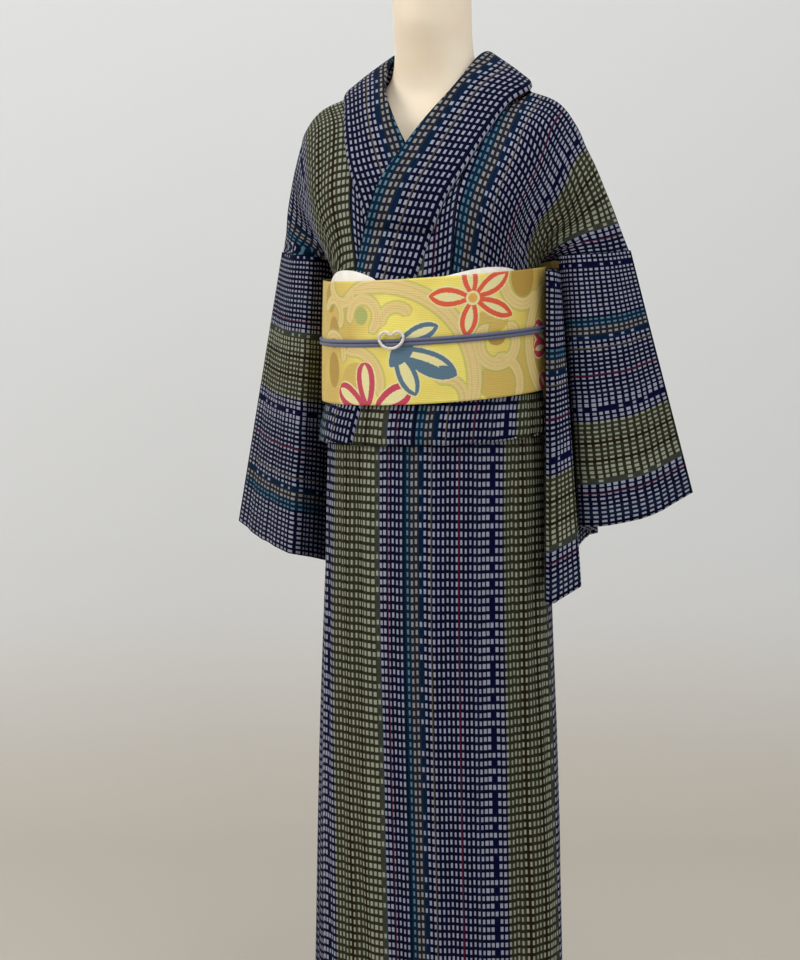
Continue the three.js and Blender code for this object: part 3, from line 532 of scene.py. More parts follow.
def okumi_patch(side):
    shares = np.linspace(0, 1, 26)
    stations = []
    for station, at in ((2, 6), (3, 7), (4, 8)):
        seam = np.array(FRONT_THREADS[0][station], float)
        edge = np.array(COLLAR_RUN[at][1], float) + (0, COLLAR_LIFT, 0)
        inward = (edge - seam) / np.linalg.norm(edge - seam) * UNDER_COLLAR
        stations.append(crossed(mix(edge + inward, seam - (1.2, 0, 0), shares[:, None]), side))
    points = finished_threads(stations, lambda z: mix(
        waist_line(2, z) - UNDER_COLLAR, waist_line(1, z) - SEAM_GAP, shares), side)[PIECES:]
    if side < 0:
        points = points[:HIDDEN_ROWS - 2 * PIECES + 1]
    across = np.linalg.norm(points[:, -1:] - points, axis=2)
    v = levelled(130 + along(points), points[..., 2])
    return creased(points, waist_offset(points)), okumi_chart(across), v


COLLAR_CENTRE = (0, 20)         # the neck's middle: the collars face away from it
COLLAR_CHART = 167              # the chart place of the collar's sewn edge
COLLAR_EASE = 0.8               # a collar's columns are closer than the bodice's
COLLAR_ROLL = 2.2               # how far the sewn edge curves in to meet the bodice
COLLAR_TURN = 10                # how far its hem turns in under it, round the neck


def collar_threads(side):
    shares = np.append(np.linspace(0, 0.92, 13), (0.95, 0.975, 1))
    run = [crossed(mix(np.array(neck, float), np.array(sewn, float), shares[:, None]), side)
           for neck, sewn in COLLAR_RUN]
    points = finished_threads(run, lambda z: mix(waist_line(3, z), waist_line(2, z), shares), side,
                              out=COLLAR_LIFT, folded=False)
    if side < 0:
        points = points[:11 * PIECES + 1]
    widths = np.linalg.norm(points[:, -1:] - points[:, :1], axis=2)
    crown = 1.3 * np.sin(np.pi * shares) - COLLAR_ROLL * ease((shares - 0.92) / 0.08)
    points = creased(points, np.broadcast_to(crown, points.shape[:2]), COLLAR_CENTRE)
    deep = 1 + COLLAR_TURN * ease((240 - along(points)[:, -1:]) / 100)
    turned = points[:, -1:] - outward(points, COLLAR_CENTRE)[:, -1:] * (deep * (0.5, 1))[..., None]
    chart = [COLLAR_CHART - COLLAR_EASE * widths * (1 - shares), COLLAR_CHART + deep * (0.5, 1)]
    points = np.concatenate([points, turned], axis=1)
    points[0, :, 0] = 0
    return points, np.concatenate(chart, axis=1), side * along(points)


def collar_grid():
    left, right = collar_threads(1), collar_threads(-1)
    return [np.concatenate([b[::-1], a[1:]]) for a, b in zip(left, right)], len(right[0]) - 1


OVER_COLLAR_ROWS = int(8.5 * PIECES)
OVER_COLLAR_OUT = 2.1


def over_collar_grid():
    (points, u, v), middle = collar_grid()
    rows = slice(middle - OVER_COLLAR_ROWS, middle + OVER_COLLAR_ROWS + 1)
    return creased(points, np.full(u.shape, OVER_COLLAR_OUT), COLLAR_CENTRE)[rows], u[rows], v[rows]


SLEEVE_ROWS = 4
SLEEVE_TUCK = 2.5               # how far a sleeve's top goes up behind the shoulder's edge
# Chart place of the sleeve seam, and how far to the cuff.
SLEEVE_CHART = {1: (22, 330), -1: (386, -337)}
# Long soft folds of a sleeve: place from the outer fold, half width, depth, growth towards the cuff.
SLEEVE_FLUTES = [(28, 8, 2.0, 0.6), (58, 10, 1.6, 0.3), (92, 9, 2.4, 0.8), (128, 8, 1.6, -0.4),
                 (176, 9, 1.6, 0.5), (232, 10, 1.4, 0.2)]
SLEEVE_DEEPER = 0.8


def sleeve_patch(table, side):
    path = run_through([row[3] for row in table], SLEEVE_ROWS)
    places = np.linspace(0, len(table) - 1, len(path))
    t = np.interp(places, range(len(table)), [row[0] for row in table])
    room = through([row[4] for row in table], places, level_ends=True)
    ahead = np.gradient(path, axis=0) * (1, 1, 0)
    across = np.stack([-ahead[:, 1], ahead[:, 0], 0 * t], axis=1)
    across /= np.linalg.norm(across, axis=1, keepdims=True)
    shares = np.linspace(0, 1, 56)
    layers = []
    for index, way in ((1, 1), (2, -1)):
        top = run_through([row[index] for row in table], SLEEVE_ROWS) + (0, 0, SLEEVE_TUCK)
        cuff = path + way * across * room[:, None]
        points = mix(top[:, None], cuff[:, None], shares[None, :, None])
        fluted = np.zeros(points.shape[:2])
        for place, width, depth, grows in SLEEVE_FLUTES:
            deep = depth * (1 + grows * (shares - 0.5)) * ease(shares / 0.2)
            fluted += np.exp(-((t - place) / width) ** 2)[:, None] * deep
        edge = ease(t / 14) * ease((t[-1] - t) / 20)
        layers.append(points - across[:, None] * (SLEEVE_DEEPER * fluted * edge[:, None])[..., None])
    front, back = layers[0][::-1], layers[1]
    points = mirrored(np.concatenate([front, back, front[:1]]), side)
    along_bolt = np.concatenate([-t[::-1], t, [t[-1] + 2]])
    start, width = SLEEVE_CHART[side]
    u, rows = start + width * shares, len(points)
    return points, np.repeat(u[None], rows, 0), np.repeat(along_bolt[:, None], len(shares), 1)


def belt_points(sections, s, z, out=0):
    points = girth_points(sections, s, z, out)
    points[..., 2] = z + BELT_TILT[0] * points[..., 0] + BELT_TILT[1] * points[..., 1]
    return points


def belt_patch(rows=61, columns=241):
    """Right round from centre back to centre back."""
    places, us = [], []
    heights = np.linspace(BELT_BOTTOM_Z, BELT_TOP_Z, rows)
    for z in heights:
        half = half_girth(BELT_SECTIONS, z)
        s = np.linspace(-half, half, columns)
        points = belt_points(BELT_SECTIONS, s, z, belt_swell(s, z))
        points[[0, -1], 0] = 0
        places.append(points)
        us.append(s)
    v = heights - BELT_BOTTOM_Z
    return np.array(places), np.array(us), np.repeat(v[:, None], columns, axis=1)


SASH_LOW = 4                    # how far under the belt's edge the sash's crest lies where it is hidden
SASH_HIDDEN = 26                # how far down behind the belt the sash goes


def sash_patch():
    half = half_girth(WAIST_SECTIONS, BELT_TOP_Z)
    s = np.linspace(-half, half, 361)
    rise = np.full(s.shape, -float(SASH_LOW))
    for start, end, height, lean in SASH_RISES:
        share = np.clip((s - start) / (end - start), 0, 1) ** lean
        rise = np.maximum(rise, mix(-SASH_LOW, height, (4 * share * (1 - share)) ** 0.75))
    rows = []
    for share in np.linspace(0, 1, 14):
        z = mix(BELT_TOP_Z - SASH_HIDDEN, BELT_TOP_Z + rise, share)
        puff = 1.2 * math.sin(math.pi * share) + 0.5 * np.sin(s / 9 + 5 * share)
        out = SASH_OUT + puff - 2.4 * share ** 6
        points = np.stack([belt_points(WAIST_SECTIONS, s[k:k + 1], z[k], out[k])[0] for k in range(len(s))])
        points[[0, -1], 0] = 0
        rows.append(points)
    points = np.array(rows)
    return points, np.repeat(s[None], len(rows), 0), points[..., 2] - BELT_TOP_Z


def back_fold(profile, half_width):
    """A fold of the belt at the back, bent a little round the body."""
    run = run_through([(0, y, z) for y, z in profile], 8)
    x = np.linspace(-half_width, half_width, 61)
    points = np.repeat(run[:, None], len(x), axis=1)
    points[..., 0] = x
    points[..., 1] -= DRUM_CROWN * (x / half_width) ** 2
    length = np.concatenate([[0], np.cumsum(np.linalg.norm(np.diff(run, axis=0), axis=1))])
    u, v = x + DRUM_DESIGN[0], length + DRUM_DESIGN[1]
    return points, np.repeat(u[None], len(run), 0), np.repeat(v[:, None], len(x), 1)


def tube_patch(path, radius, sides):
    """A closed tube along a closed path of points."""
    path = np.asarray(path, float)
    ahead = np.roll(path, -1, axis=0) - np.roll(path, 1, axis=0)
    ahead /= np.linalg.norm(ahead, axis=1, keepdims=True)
    up = np.cross(ahead, np.cross((0, 0, 1), ahead) + 1e-6)
    up /= np.linalg.norm(up, axis=1, keepdims=True)
    aside = np.cross(ahead, up)
    turn = np.linspace(0, 2 * np.pi, sides + 1)
    cosine, sine = np.cos(turn)[:, None], np.sin(turn)[:, None]
    points = path[:, None] + radius * (up[:, None] * cosine + aside[:, None] * sine)
    points[:, -1] = points[:, 0]
    length = np.concatenate([[0], np.cumsum(np.linalg.norm(np.diff(path, axis=0), axis=1))])
    points = np.concatenate([points, points[:1]])
    length = np.append(length, length[-1] + np.linalg.norm(path[0] - path[-1]))
    return points, np.repeat(turn[None] * 3, len(points), 0), np.repeat(length[:, None], sides + 1, 1)


# ---- meshes --------------------------------------------------------------------------------------
def grid_mesh(name, patches, paint, thickness=0.0, centre=(0, 10), closed=False):
    """One object over patches of (points, u, v) in millimetres, joined where their points meet."""
    bm = bmesh.new()
    layer = bm.loops.layers.uv.new("Cloth")
    for points, u, v in patches:
        rows, columns = points.shape[:2]
        made = bmesh.ops.create_grid(bm, x_segments=columns - 1, y_segments=rows - 1, size=1)["verts"]
        place = {}
        for vert in made:
            i = round((vert.co.y + 1) / 2 * (rows - 1))
            j = round((vert.co.x + 1) / 2 * (columns - 1))
            place[vert] = (i, j)
        for face in {face for vert in made for face in vert.link_faces}:
            for loop in face.loops:
                i, j = place[loop.vert]
                loop[layer].uv = (u[i, j] * MM, v[i, j] * MM)
        for vert, (i, j) in place.items():
            vert.co = Vector(points[i, j]) * MM
    bmesh.ops.remove_doubles(bm, verts=bm.verts, dist=0.05 * MM)
    bmesh.ops.recalc_face_normals(bm, faces=bm.faces)
    if not closed:
        axis = Vector((centre[0], centre[1], 0)) * MM
        facing = sum(f.normal.xy.dot((f.calc_center_median() - axis).xy) * f.calc_area() for f in bm.faces)
        if facing < 0:
            bmesh.ops.reverse_faces(bm, faces=bm.faces)
    return finished(name, bm, paint, thickness)


def placed(name, bm, paint):
    """A new object in the scene from a finished bmesh."""
    mesh = bpy.data.meshes.new(name)
    bm.to_mesh(mesh)
    bm.free()
    mesh.shade_smooth()
    mesh.materials.append(paint)
    thing = bpy.data.objects.new(name, mesh)
    bpy.context.scene.collection.objects.link(thing)
    return thing


def finished(name, bm, paint, thickness=0.0):
    """A piece of the part, with its wall if it is cloth."""
    piece = placed(name, bm, paint)
    if thickness:
        wall = piece.modifiers.new("Wall", "SOLIDIFY")
        wall.thickness = thickness * MM
        wall.offset = 0
        wall.use_even_offset = False
    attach(piece, "root")
    return piece


def cut_area(patches):
    """Flat area of the cloth that the patches cover, in square metres, from their places on the bolt."""
    total = 0
    for _, u, v in patches:
        first = (u[1:, 1:] - u[:-1, :-1], v[1:, 1:] - v[:-1, :-1])
        second = (u[1:, :-1] - u[:-1, 1:], v[1:, :-1] - v[:-1, 1:])
        total += np.abs(first[0] * second[1] - first[1] * second[0]).sum() / 2
    return float(total) * MM * MM


# ---- shader maths --------------------------------------------------------------------------------
class Value:
    """A number that changes over a surface; arithmetic on it adds Math nodes."""

    def __init__(self, paint, socket):
        self.paint, self.socket = paint, socket

    def math(self, operation, *others):
        return self.paint.value("ShaderNodeMath", {"operation": operation}, self, *others)

    def __add__(self, other):
        return self.math("ADD", other)

    def __sub__(self, other):
        return self.math("SUBTRACT", other)

    def __rsub__(self, other):
        return self.paint.value("ShaderNodeMath", {"operation": "SUBTRACT"}, other, self)

    def __mul__(self, other):
        return self.math("MULTIPLY", other)

    def __truediv__(self, other):
        return self.math("DIVIDE", other)

    def __neg__(self):
        return self * -1

    __radd__, __rmul__ = __add__, __mul__

    def abs(self):
        return self.math("ABSOLUTE")

    def floor(self):
        return self.math("FLOOR")

    def fract(self):
        return self.math("FRACT")

    def sine(self):
        return self.math("SINE")

    def root(self):
        return self.math("SQRT")

    def least(self, other):
        return self.math("MINIMUM", other)

    def most(self, other):
        return self.math("MAXIMUM", other)

    def parity(self):
        return self.math("PINGPONG", 1)

    def rise(self, low, high):
        """0 below low and 1 above high, smoothly between."""
        smooth = {"interpolation_type": "SMOOTHSTEP"}
        return self.paint.value("ShaderNodeMapRange", smooth, self, low, high, 0, 1)

    def near(self, middle, width):
        """1 at the middle, falling to 0 a width away."""
        return (1 - (self - middle).abs() / width).most(0)


class Paint:
    """One material, built from its nodes."""

    def __init__(self, name, **constants):
        self.material = bpy.data.materials.new(name)
        self.material.use_nodes = True
        self.tree = self.material.node_tree
        self.tree.nodes.clear()
        self.surface = self.node("ShaderNodeBsdfPrincipled")
        self.output = self.node("ShaderNodeOutputMaterial")
        self.tree.links.new(self.surface.outputs[0], self.output.inputs["Surface"])
        for socket, value in constants.items():
            self.surface.inputs[socket.replace("_", " ")].default_value = value

    def node(self, kind, settings=None, *sockets, **named):
        made = self.tree.nodes.new(kind)
        for key, value in (settings or {}).items():
            if key == "stops":
                self.stops(made.color_ramp, value)
            elif key == "blending":
                made.color_ramp.interpolation = value
            else:
                setattr(made, key, value)
        for key, value in [*enumerate(sockets), *named.items()]:
            socket = made.inputs[key if isinstance(key, int) else key.replace("_", " ")]
            if isinstance(value, Value):
                self.tree.links.new(value.socket, socket)
            elif isinstance(value, bpy.types.NodeSocket):
                self.tree.links.new(value, socket)
            elif value is not None:
                socket.default_value = value
        return made

    @staticmethod
    def stops(ramp, stops):
        while len(ramp.elements) > 1:
            ramp.elements.remove(ramp.elements[-1])
        for k, (place, colour) in enumerate(stops):
            element = ramp.elements[0] if k == 0 else ramp.elements.new(place)
            element.position = place
            element.color = (*colour, 1)

    def value(self, kind, settings=None, *sockets, **named):
        return Value(self, self.node(kind, settings, *sockets, **named).outputs[0])

    def cloth_place(self):
        """u and v on the cloth, in millimetres."""
        uv = self.node("ShaderNodeUVMap", {"uv_map": "Cloth"})
        apart = self.node("ShaderNodeSeparateXYZ", None, uv.outputs[0])
        return Value(self, apart.outputs[0]) * 1000, Value(self, apart.outputs[1]) * 1000

    def vector(self, x, y, z=0):
        return self.node("ShaderNodeCombineXYZ", None, x, y, z).outputs[0]

    def noise(self, vector, scale, detail=2.0, roughness=0.5):
        return self.value("ShaderNodeTexNoise", None, vector, Scale=scale, Detail=detail, Roughness=roughness)

    def chance(self, x, y=0):
        """A number of its own for each whole x and y."""
        return self.value("ShaderNodeTexWhiteNoise", {"noise_dimensions": "2D"}, self.vector(x, y))

    def blend(self, share, first, second):
        made = self.node("ShaderNodeMix", {"data_type": "RGBA"}, share)
        for socket, colour in ((made.inputs[6], first), (made.inputs[7], second)):
            if isinstance(colour, bpy.types.NodeSocket):
                self.tree.links.new(colour, socket)
            else:
                socket.default_value = (*colour, 1)
        return made.outputs[2]

    def toned(self, colour, tone):
        """The colour made lighter or darker by a varying number."""
        made = self.node("ShaderNodeMix", {"data_type": "RGBA", "blend_type": "MULTIPLY"}, 1.0)
        self.tree.links.new(colour, made.inputs[6])
        self.tree.links.new(self.vector(tone, tone, tone), made.inputs[7])
        return made.outputs[2]

    def set(self, **sockets):
        for key, value in sockets.items():
            socket = self.surface.inputs[key.replace("_", " ")]
            self.tree.links.new(value.socket if isinstance(value, Value) else value, socket)

    def relief(self, height, distance, strength=1.0):
        bump = self.node("ShaderNodeBump", None, Strength=strength, Distance=distance * MM, Height=height)
        self.tree.links.new(bump.outputs[0], self.surface.inputs["Normal"])


def most_of(values):
    best = values[0]
    for value in values[1:]:
        best = best.most(value)
    return best


def linear(tint):
    """A display colour as Blender's linear numbers."""
    return tuple(c / 12.92 if c <= 0.04045 else ((c + 0.055) / 1.055) ** 2.4 for c in tint)


# ---- the woven dot stripe ------------------------------------------------------------------------
# One bolt of the cloth, by where each stripe starts from its edge: its ground, its dots and how much
# of its column a dot fills. Every sixteenth column is a gap that misses most of its dots.
CHART_WIDTH = 430
STRIPES = [
    (0, "navy", "navy_dot", 0.5), (32.6, "blue", "navy_dot", 0.5), (38.1, "navy", "navy_dot", 0.5),
    (98, "teal", "teal_dot", 0.42), (108.9, "umber", "cream_dot", 0.5), (119.8, "sea", "navy_dot", 0.5),
    (125.3, "navy", "navy_dot", 0.5), (136.2, "navy", "navy_dot", 0.42),
    (186, "dusk", "navy_dot", 0.46), (191, "navy", "navy_dot", 0.5), (196.1, "navy", "navy_dot", 0.68),
    (207, "blue", "navy_dot", 0.5), (212.5, "navy", "navy_dot", 0.6), (223.4, "olive", "olive_dot", 0.4),
    (277.9, "olive", "olive_dot", 0.6), (294.2, "moss", "olive_dot", 0.5), (299.7, "navy", "navy_dot", 0.62),
    (310.6, "navy", "navy_dot", 0.44), (327, "dusk", "navy_dot", 0.46), (343, "navy", "navy_dot", 0.46),
    (381.4, "blue", "navy_dot", 0.5), (386.9, "navy", "navy_dot", 0.5),
]
OLIVE_MIDDLE, OLIVE_HALF = 258.8, 35.4
BROWNS = [(250.6, 5.2), (272.4, 4.0)]
RED_LINES = [(168.5, 0.8), (312.5, 0.7)]
YELLOW_LINE = (135.5, 0.7)
DOT_START = 98.025
DOT_PITCH = 5.45
GAP_EVERY, GAP_FIRST = 16, 4
ROW_PITCH = 10.2
THREAD_PITCH = (0.9, 0.7)       # the fine weave, across the bolt and along it


def kasuri_paint(tints, name):
    paint = Paint(name, IOR=1.4, Specular_IOR_Level=0.06)
    u, v = paint.cloth_place()
    chart = u / CHART_WIDTH
    place = paint.vector(u, v)

    def ramp(index):
        return paint.node("ShaderNodeValToRGB", {"blending": "CONSTANT", "stops": [
            (row[0] / CHART_WIDTH, (row[index],) * 3 if index == 3 else linear(getattr(tints, row[index])))
            for row in STRIPES]}, chart).outputs[0]

    ground, dots, fill = ramp(1), ramp(2), Value(paint, ramp(3))
    column = (u - DOT_START) / DOT_PITCH
    number = column.floor()
    drift = paint.noise(place, 0.02, 1.0) * 1.6 + paint.chance(number) * 0.9
    row = (v + drift) / ROW_PITCH
    line = row.floor()
    odds = paint.chance(number, line)
    across = (column.fract() - 0.5).abs()
    wide = 1 - ((across - fill * 0.5 * (0.92 + odds * 0.16)) / 0.07 + 0.5).rise(0, 1)
    tall = 1 - ((row.fract() - 0.5).abs() - odds * 0.03).rise(0.22, 0.32)
    gap = (number - GAP_FIRST).math("FLOORED_MODULO", GAP_EVERY).math("LESS_THAN", 0.5)
    kept = (1 - line.parity()) * line.math("FLOORED_MODULO", 8).math("LESS_THAN", 5.5)
    dot = wide * tall * (1 - gap * (1 - kept))

    brown = most_of([u.near(at, width) for at, width in BROWNS])
    olive = (u - OLIVE_MIDDLE).abs().math("LESS_THAN", OLIVE_HALF)
    ground = paint.blend(olive * (1 - tall) * 0.6, ground, linear(tints.olive_shade))
    ground = paint.blend((brown * 1.8).least(0.9), ground, linear(tints.brown))
    threads = paint.noise(paint.vector(u * 4, v * 0.25), 1.0, 2.0)
    cross = paint.noise(paint.vector(u * 0.3, v * 3.2), 1.0, 2.0)
    colour = paint.blend(dot * (0.82 + odds * 0.12 + cross * 0.16).least(1), ground, dots)
    red = most_of([(u - at).abs().math("LESS_THAN", width) for at, width in RED_LINES])
    colour = paint.blend(red * 0.75, colour, linear(tints.red))
    yellow = (u - YELLOW_LINE[0]).abs().math("LESS_THAN", YELLOW_LINE[1])
    colour = paint.blend(yellow * 0.25, colour, linear(tints.yellow))
    slub = (threads * 0.5 + cross * 0.5).rise(0.3, 0.7)
    paint.set(Base_Color=paint.toned(colour, 0.84 + slub * 0.22), Roughness=0.62 + slub * 0.14)
    by_u, by_v = (2 * math.pi / pitch for pitch in THREAD_PITCH)
    weave = (u * by_u).sine() * (v * by_v).sine()
    paint.relief(slub * 0.7 + weave * 0.3 + dot * 0.25, 0.16, 0.55)
    return paint.material


# ---- the belt's weave ----------------------------------------------------------------------------
# Petals: where they start (place along the belt, height), the way they point in degrees, length and
# half width. Each flower: colour, outline width, how blunt its petals are, outlined petals and
# filled ones.
FLOWERS = [
    ("orange", 5.6, 0.8, [(97, 122, 174, 53, 11), (97, 122, 98, 44, 9.5), (97, 122, 30, 56, 11),
                          (97, 122, -25, 59, 9.5), (97, 122, -101, 46, 10.5)], []),
    ("crimson", 7.4, 0.42, [(-36, -2, 94, 54, 13), (-42, -4, 150, 50, 13.5), (-24, -4, 27, 50, 14),
                            (226, 54, 138, 44, 12), (226, 54, 184, 36, 11), (222, -4, 125, 30, 10)], []),
    ("slate", 5.4, 0.7, [(8, 77, 18, 50, 10), (6, 68, -27, 80, 14.5), (3, 68, -66, 63, 12)],
     [(-4, 46, 50, 42, 12), (14, 58, -27, 60, 5.5), (56, 44, -32, 24, 6)]),
]
# Scrolls: centre, radius, half width, middle of the arc in degrees, half its extent.
SCROLLS = [
    (-21, 24, 120, 8.5, 46, 60), (-42, 107, 21, 6, 70, 125), (4, 97, 20, 6, 110, 75),
    (-58, 26, 40, 6, 45, 60), (-100, 108, 20, 5, 60, 100), (-100, 62, 24, 5, 70, 90),
    (130, 66, 26, 7, 270, 140), (262, 60, 82, 8, 180, 52), (170, 140, 31, 7, 235, 85),
    (62, 4, 24, 5, 40, 70), (-78, 150, 26, 6, 250, 70), (128, 14, 34, 6, 30, 60),
]
# Plain ovals under the scrolls: place, half width, half height and colour.
OVALS = [
    (-108, 130, 15, 18, "ochre"), (-98, 88, 12, 20, "ochre"), (-100, 42, 13, 22, "ochre"),
    (-44, 108, 10, 11, "sage"), (170, 142, 21, 26, "ochre"), (200, 48, 12, 32, "ochre"),
    (128, 72, 12, 9, "ochre"), (132, 20, 30, 24, "gold"), (-54, 26, 26, 26, "gold"),
    (118, 92, 26, 14, "gold"),
]
BELT_START = -130               # where the design's repeat starts along the belt
BELT_REPEAT = 380
BELT_LOWEST = -3                # where the repeat starts across the belt, which is 150 wide when folded
BELT_RISE = 180
LILY = (97, 122)
RIB_PITCH = 2.1


def petal(u, v, place, blunt):
    """How far a point is inside a petal, in millimetres."""
    x0, y0, turn, length, half = place
    c, s = math.cos(math.radians(turn)), math.sin(math.radians(turn))
    along_it = (u - x0) * c + (v - y0) * s
    across = (v - y0) * c - (u - x0) * s
    share = (along_it / length).least(1).most(0)
    width = (share * (1 - share) * 4).math("POWER", blunt) * (0.75 + share * 0.5) * half
    beyond = ((along_it - length).most(0) + (-along_it).most(0)) * 0.8
    return width - across.abs() - beyond


def scroll(u, v, place):
    x0, y0, radius, half, middle, extent = place
    dx, dy = u - x0, v - y0
    distance = (dx * dx + dy * dy).root()
    facing = (dx * math.cos(math.radians(middle)) + dy * math.sin(math.radians(middle))) / distance.most(0.1)
    reach = (facing - math.cos(math.radians(extent))) * 22
    return half - (distance - radius).abs() - (-reach + 1).most(0) - (4 - reach).most(0) * 0.5


def belt_paint(tints, name):
    paint = Paint(name, IOR=1.45, Sheen_Weight=0.1, Sheen_Roughness=0.35)
    along_belt, height = paint.cloth_place()
    place = paint.vector(along_belt, height)
    ragged = (paint.noise(paint.vector(along_belt * 0.9, height * 0.9), 1.0, 1.0) - 0.5) * 2.2
    u = ((along_belt - BELT_START) / BELT_REPEAT).fract() * BELT_REPEAT + BELT_START + ragged
    v = ((height - BELT_LOWEST) / BELT_RISE).fract() * BELT_RISE + BELT_LOWEST
    v = v + (paint.noise(place, 0.35, 1.0) - 0.5) * 1.6
    glow = paint.noise(paint.vector(u * 0.9, height), 0.016, 1.0)
    sides = ((u - 46).abs() / 150).rise(0.3, 1.0)
    pale = (glow.rise(0.38, 0.62) * 0.5 + 0.75 - sides * 1.1).most(0).least(1)
    colour = paint.blend(pale, linear(tints.gold), linear(tints.lemon))
    for x0, y0, half_width, half_height, tint in OVALS:
        x, y = (u - x0) / half_width, (v - y0) / half_height
        colour = paint.blend(1 - (x * x + y * y).rise(0.9, 1.1), colour, linear(getattr(tints, tint)))
    curls = most_of([scroll(u, v, place) for place in SCROLLS])
    colour = paint.blend(curls.rise(-3.0, -2.2) * 0.6, colour, linear(tints.sage))
    colour = paint.blend(curls.rise(-0.6, 0.4) * 0.95, colour, linear(tints.tan))
    colour = paint.blend(curls.near(4.6, 0.8) * 0.4, colour, linear(tints.ochre))
    figure = curls.rise(-0.6, 0.4) * 0.4
    for tint, outline, blunt, petals, filled in FLOWERS:
        open_part = most_of([petal(u, v, place, blunt) for place in petals])
        solid = most_of([petal(u, v, place, blunt) for place in filled or petals[:1]])
        inside = open_part.most(solid)
        colour = paint.blend(inside.rise(-2.4, -1.5), colour, linear(tints.cream))
        colour = paint.blend(inside.rise(-0.4, 0.4), colour, linear(getattr(tints, tint)))
        heart = open_part.rise(outline, outline + 0.7)
        if filled:
            heart = heart * (1 - solid.rise(-0.4, 0.4))
        colour = paint.blend(heart, colour, linear(tints.cream))
        figure = figure.most(inside.rise(-2.4, -1.0))
    eye = ((u - LILY[0]) * (u - LILY[0]) + (v - LILY[1]) * (v - LILY[1])).root()
    colour = paint.blend(1 - eye.rise(8, 9.2), colour, linear(tints.cream))
    colour = paint.blend(1 - eye.rise(5, 6.2), colour, linear(tints.eye))
    rib = (height * (2 * math.pi / RIB_PITCH)).sine()
    fine = paint.noise(paint.vector(along_belt * 1.4, height * 5), 1.0, 2.0)
    tone = 0.93 + rib * 0.035 + (fine - 0.5) * 0.22
    paint.set(Base_Color=paint.toned(colour, tone), Roughness=0.5 - figure * 0.08 + fine * 0.1)
    paint.relief(rib * 0.35 + figure * 0.7 + fine * 0.4, 0.35, 0.6)
    return paint.material


# ---- plainer finishes ----------------------------------------------------------------------------
def crepe_paint(tints, name):
    paint = Paint(name, IOR=1.4, Sheen_Weight=0.25, Sheen_Roughness=0.5)
    u, v = paint.cloth_place()
    place = paint.vector(u, v)
    grain = paint.noise(place, 1.1, 3.0)
    soft = paint.noise(place, 0.05, 1.0)
    colour = paint.blend(soft.rise(0.35, 0.65), linear(tints.crepe), linear(tints.crepe_shade))
    paint.set(Base_Color=colour, Roughness=0.66 + grain * 0.12)
    paint.relief(grain, 0.3, 0.7)
    return paint.material


PLAIT_PITCH = (4.2, 3.14)       # the cord's strands: along it, and round it


def braid_paint(tints, name):
    paint = Paint(name, IOR=1.45, Sheen_Weight=0.15)
    turn, length = paint.cloth_place()
    along_it, round_it = (2 * math.pi / pitch for pitch in PLAIT_PITCH)
    strand = (length * along_it + turn * round_it).sine()
    other = (length * along_it - turn * round_it).sine()
    plait = strand.abs().most(other.abs())
    # Painted shade: the cord's colour is darkened in the grooves between its raised strands.
    colour = paint.blend(plait.rise(0.3, 0.95), linear(tints.cord_painted_shade), linear(tints.cord))
    paint.set(Base_Color=colour, Roughness=0.62 - plait * 0.14)
    paint.relief(plait, 0.5, 0.7)
    return paint.material


def object_place(paint, scale=1.0):
    """Object coordinates in millimetres, scaled."""
    coordinates = paint.node("ShaderNodeTexCoord").outputs["Object"]
    scaled = paint.node("ShaderNodeVectorMath", {"operation": "SCALE"}, coordinates, Scale=scale * 1000)
    return scaled.outputs[0]


def pearl_paint(tints, name):
    paint = Paint(name, IOR=1.55, Coat_Weight=0.6, Coat_Roughness=0.12)
    cloud = paint.noise(object_place(paint, 0.14), 1.0, 2.0)
    paint.set(Base_Color=paint.blend(cloud.rise(0.35, 0.65), linear(tints.pearl), linear(tints.pearl_shade)),
              Roughness=0.24 + cloud * 0.12)
    return paint.material


def skin_paint(tints, name):
    paint = Paint(name, IOR=1.45, Specular_IOR_Level=0.3)
    cloud = paint.noise(object_place(paint, 0.02), 1.0, 2.0)
    speck = paint.noise(object_place(paint, 0.9), 1.0, 2.0)
    paint.set(Base_Color=paint.blend(cloud.rise(0.3, 0.7), linear(tints.skin), linear(tints.skin_shade)),
              Roughness=0.42 + speck * 0.1)
    paint.relief(speck, 0.12, 0.25)
    return paint.material


def steel_paint(tints, name):
    paint = Paint(name, Metallic=0.9)
    coordinates = object_place(paint, 1)
    stretched = paint.node("ShaderNodeMapping", None, coordinates, Scale=(0.02, 1.2, 0.02)).outputs[0]
    brushed = paint.noise(stretched, 1.0, 3.0)
    paint.set(Base_Color=paint.blend(brushed, linear(tints.steel), linear(tints.steel_shade)),
              Roughness=0.3 + brushed * 0.16)
    paint.relief(brushed, 0.05, 0.3)
    return paint.material


def backdrop_paint(tints, name):
    """A wall whose tint warms towards the floor, in soft clouds; its back is clear."""
    paint = Paint(name, Specular_IOR_Level=0.2)
    cloud = paint.noise(object_place(paint, 0.0002), 1.0, 3.0)
    apart = paint.node("ShaderNodeSeparateXYZ", None, object_place(paint, 0.001))
    rise = (Value(paint, apart.outputs[2]) + (cloud - 0.5) * 0.3).rise(-0.05, 0.55)
    colour = paint.blend(rise, linear(tints.floor), linear(tints.wall))
    paint.set(Base_Color=colour, Roughness=0.85 + cloud * 0.1)
    back = paint.node("ShaderNodeNewGeometry").outputs["Backfacing"]
    clear = paint.node("ShaderNodeBsdfTransparent").outputs[0]
    sided = paint.node("ShaderNodeMixShader", None, back, paint.surface.outputs[0], clear)
    paint.tree.links.new(sided.outputs[0], paint.output.inputs["Surface"])
    return paint.material


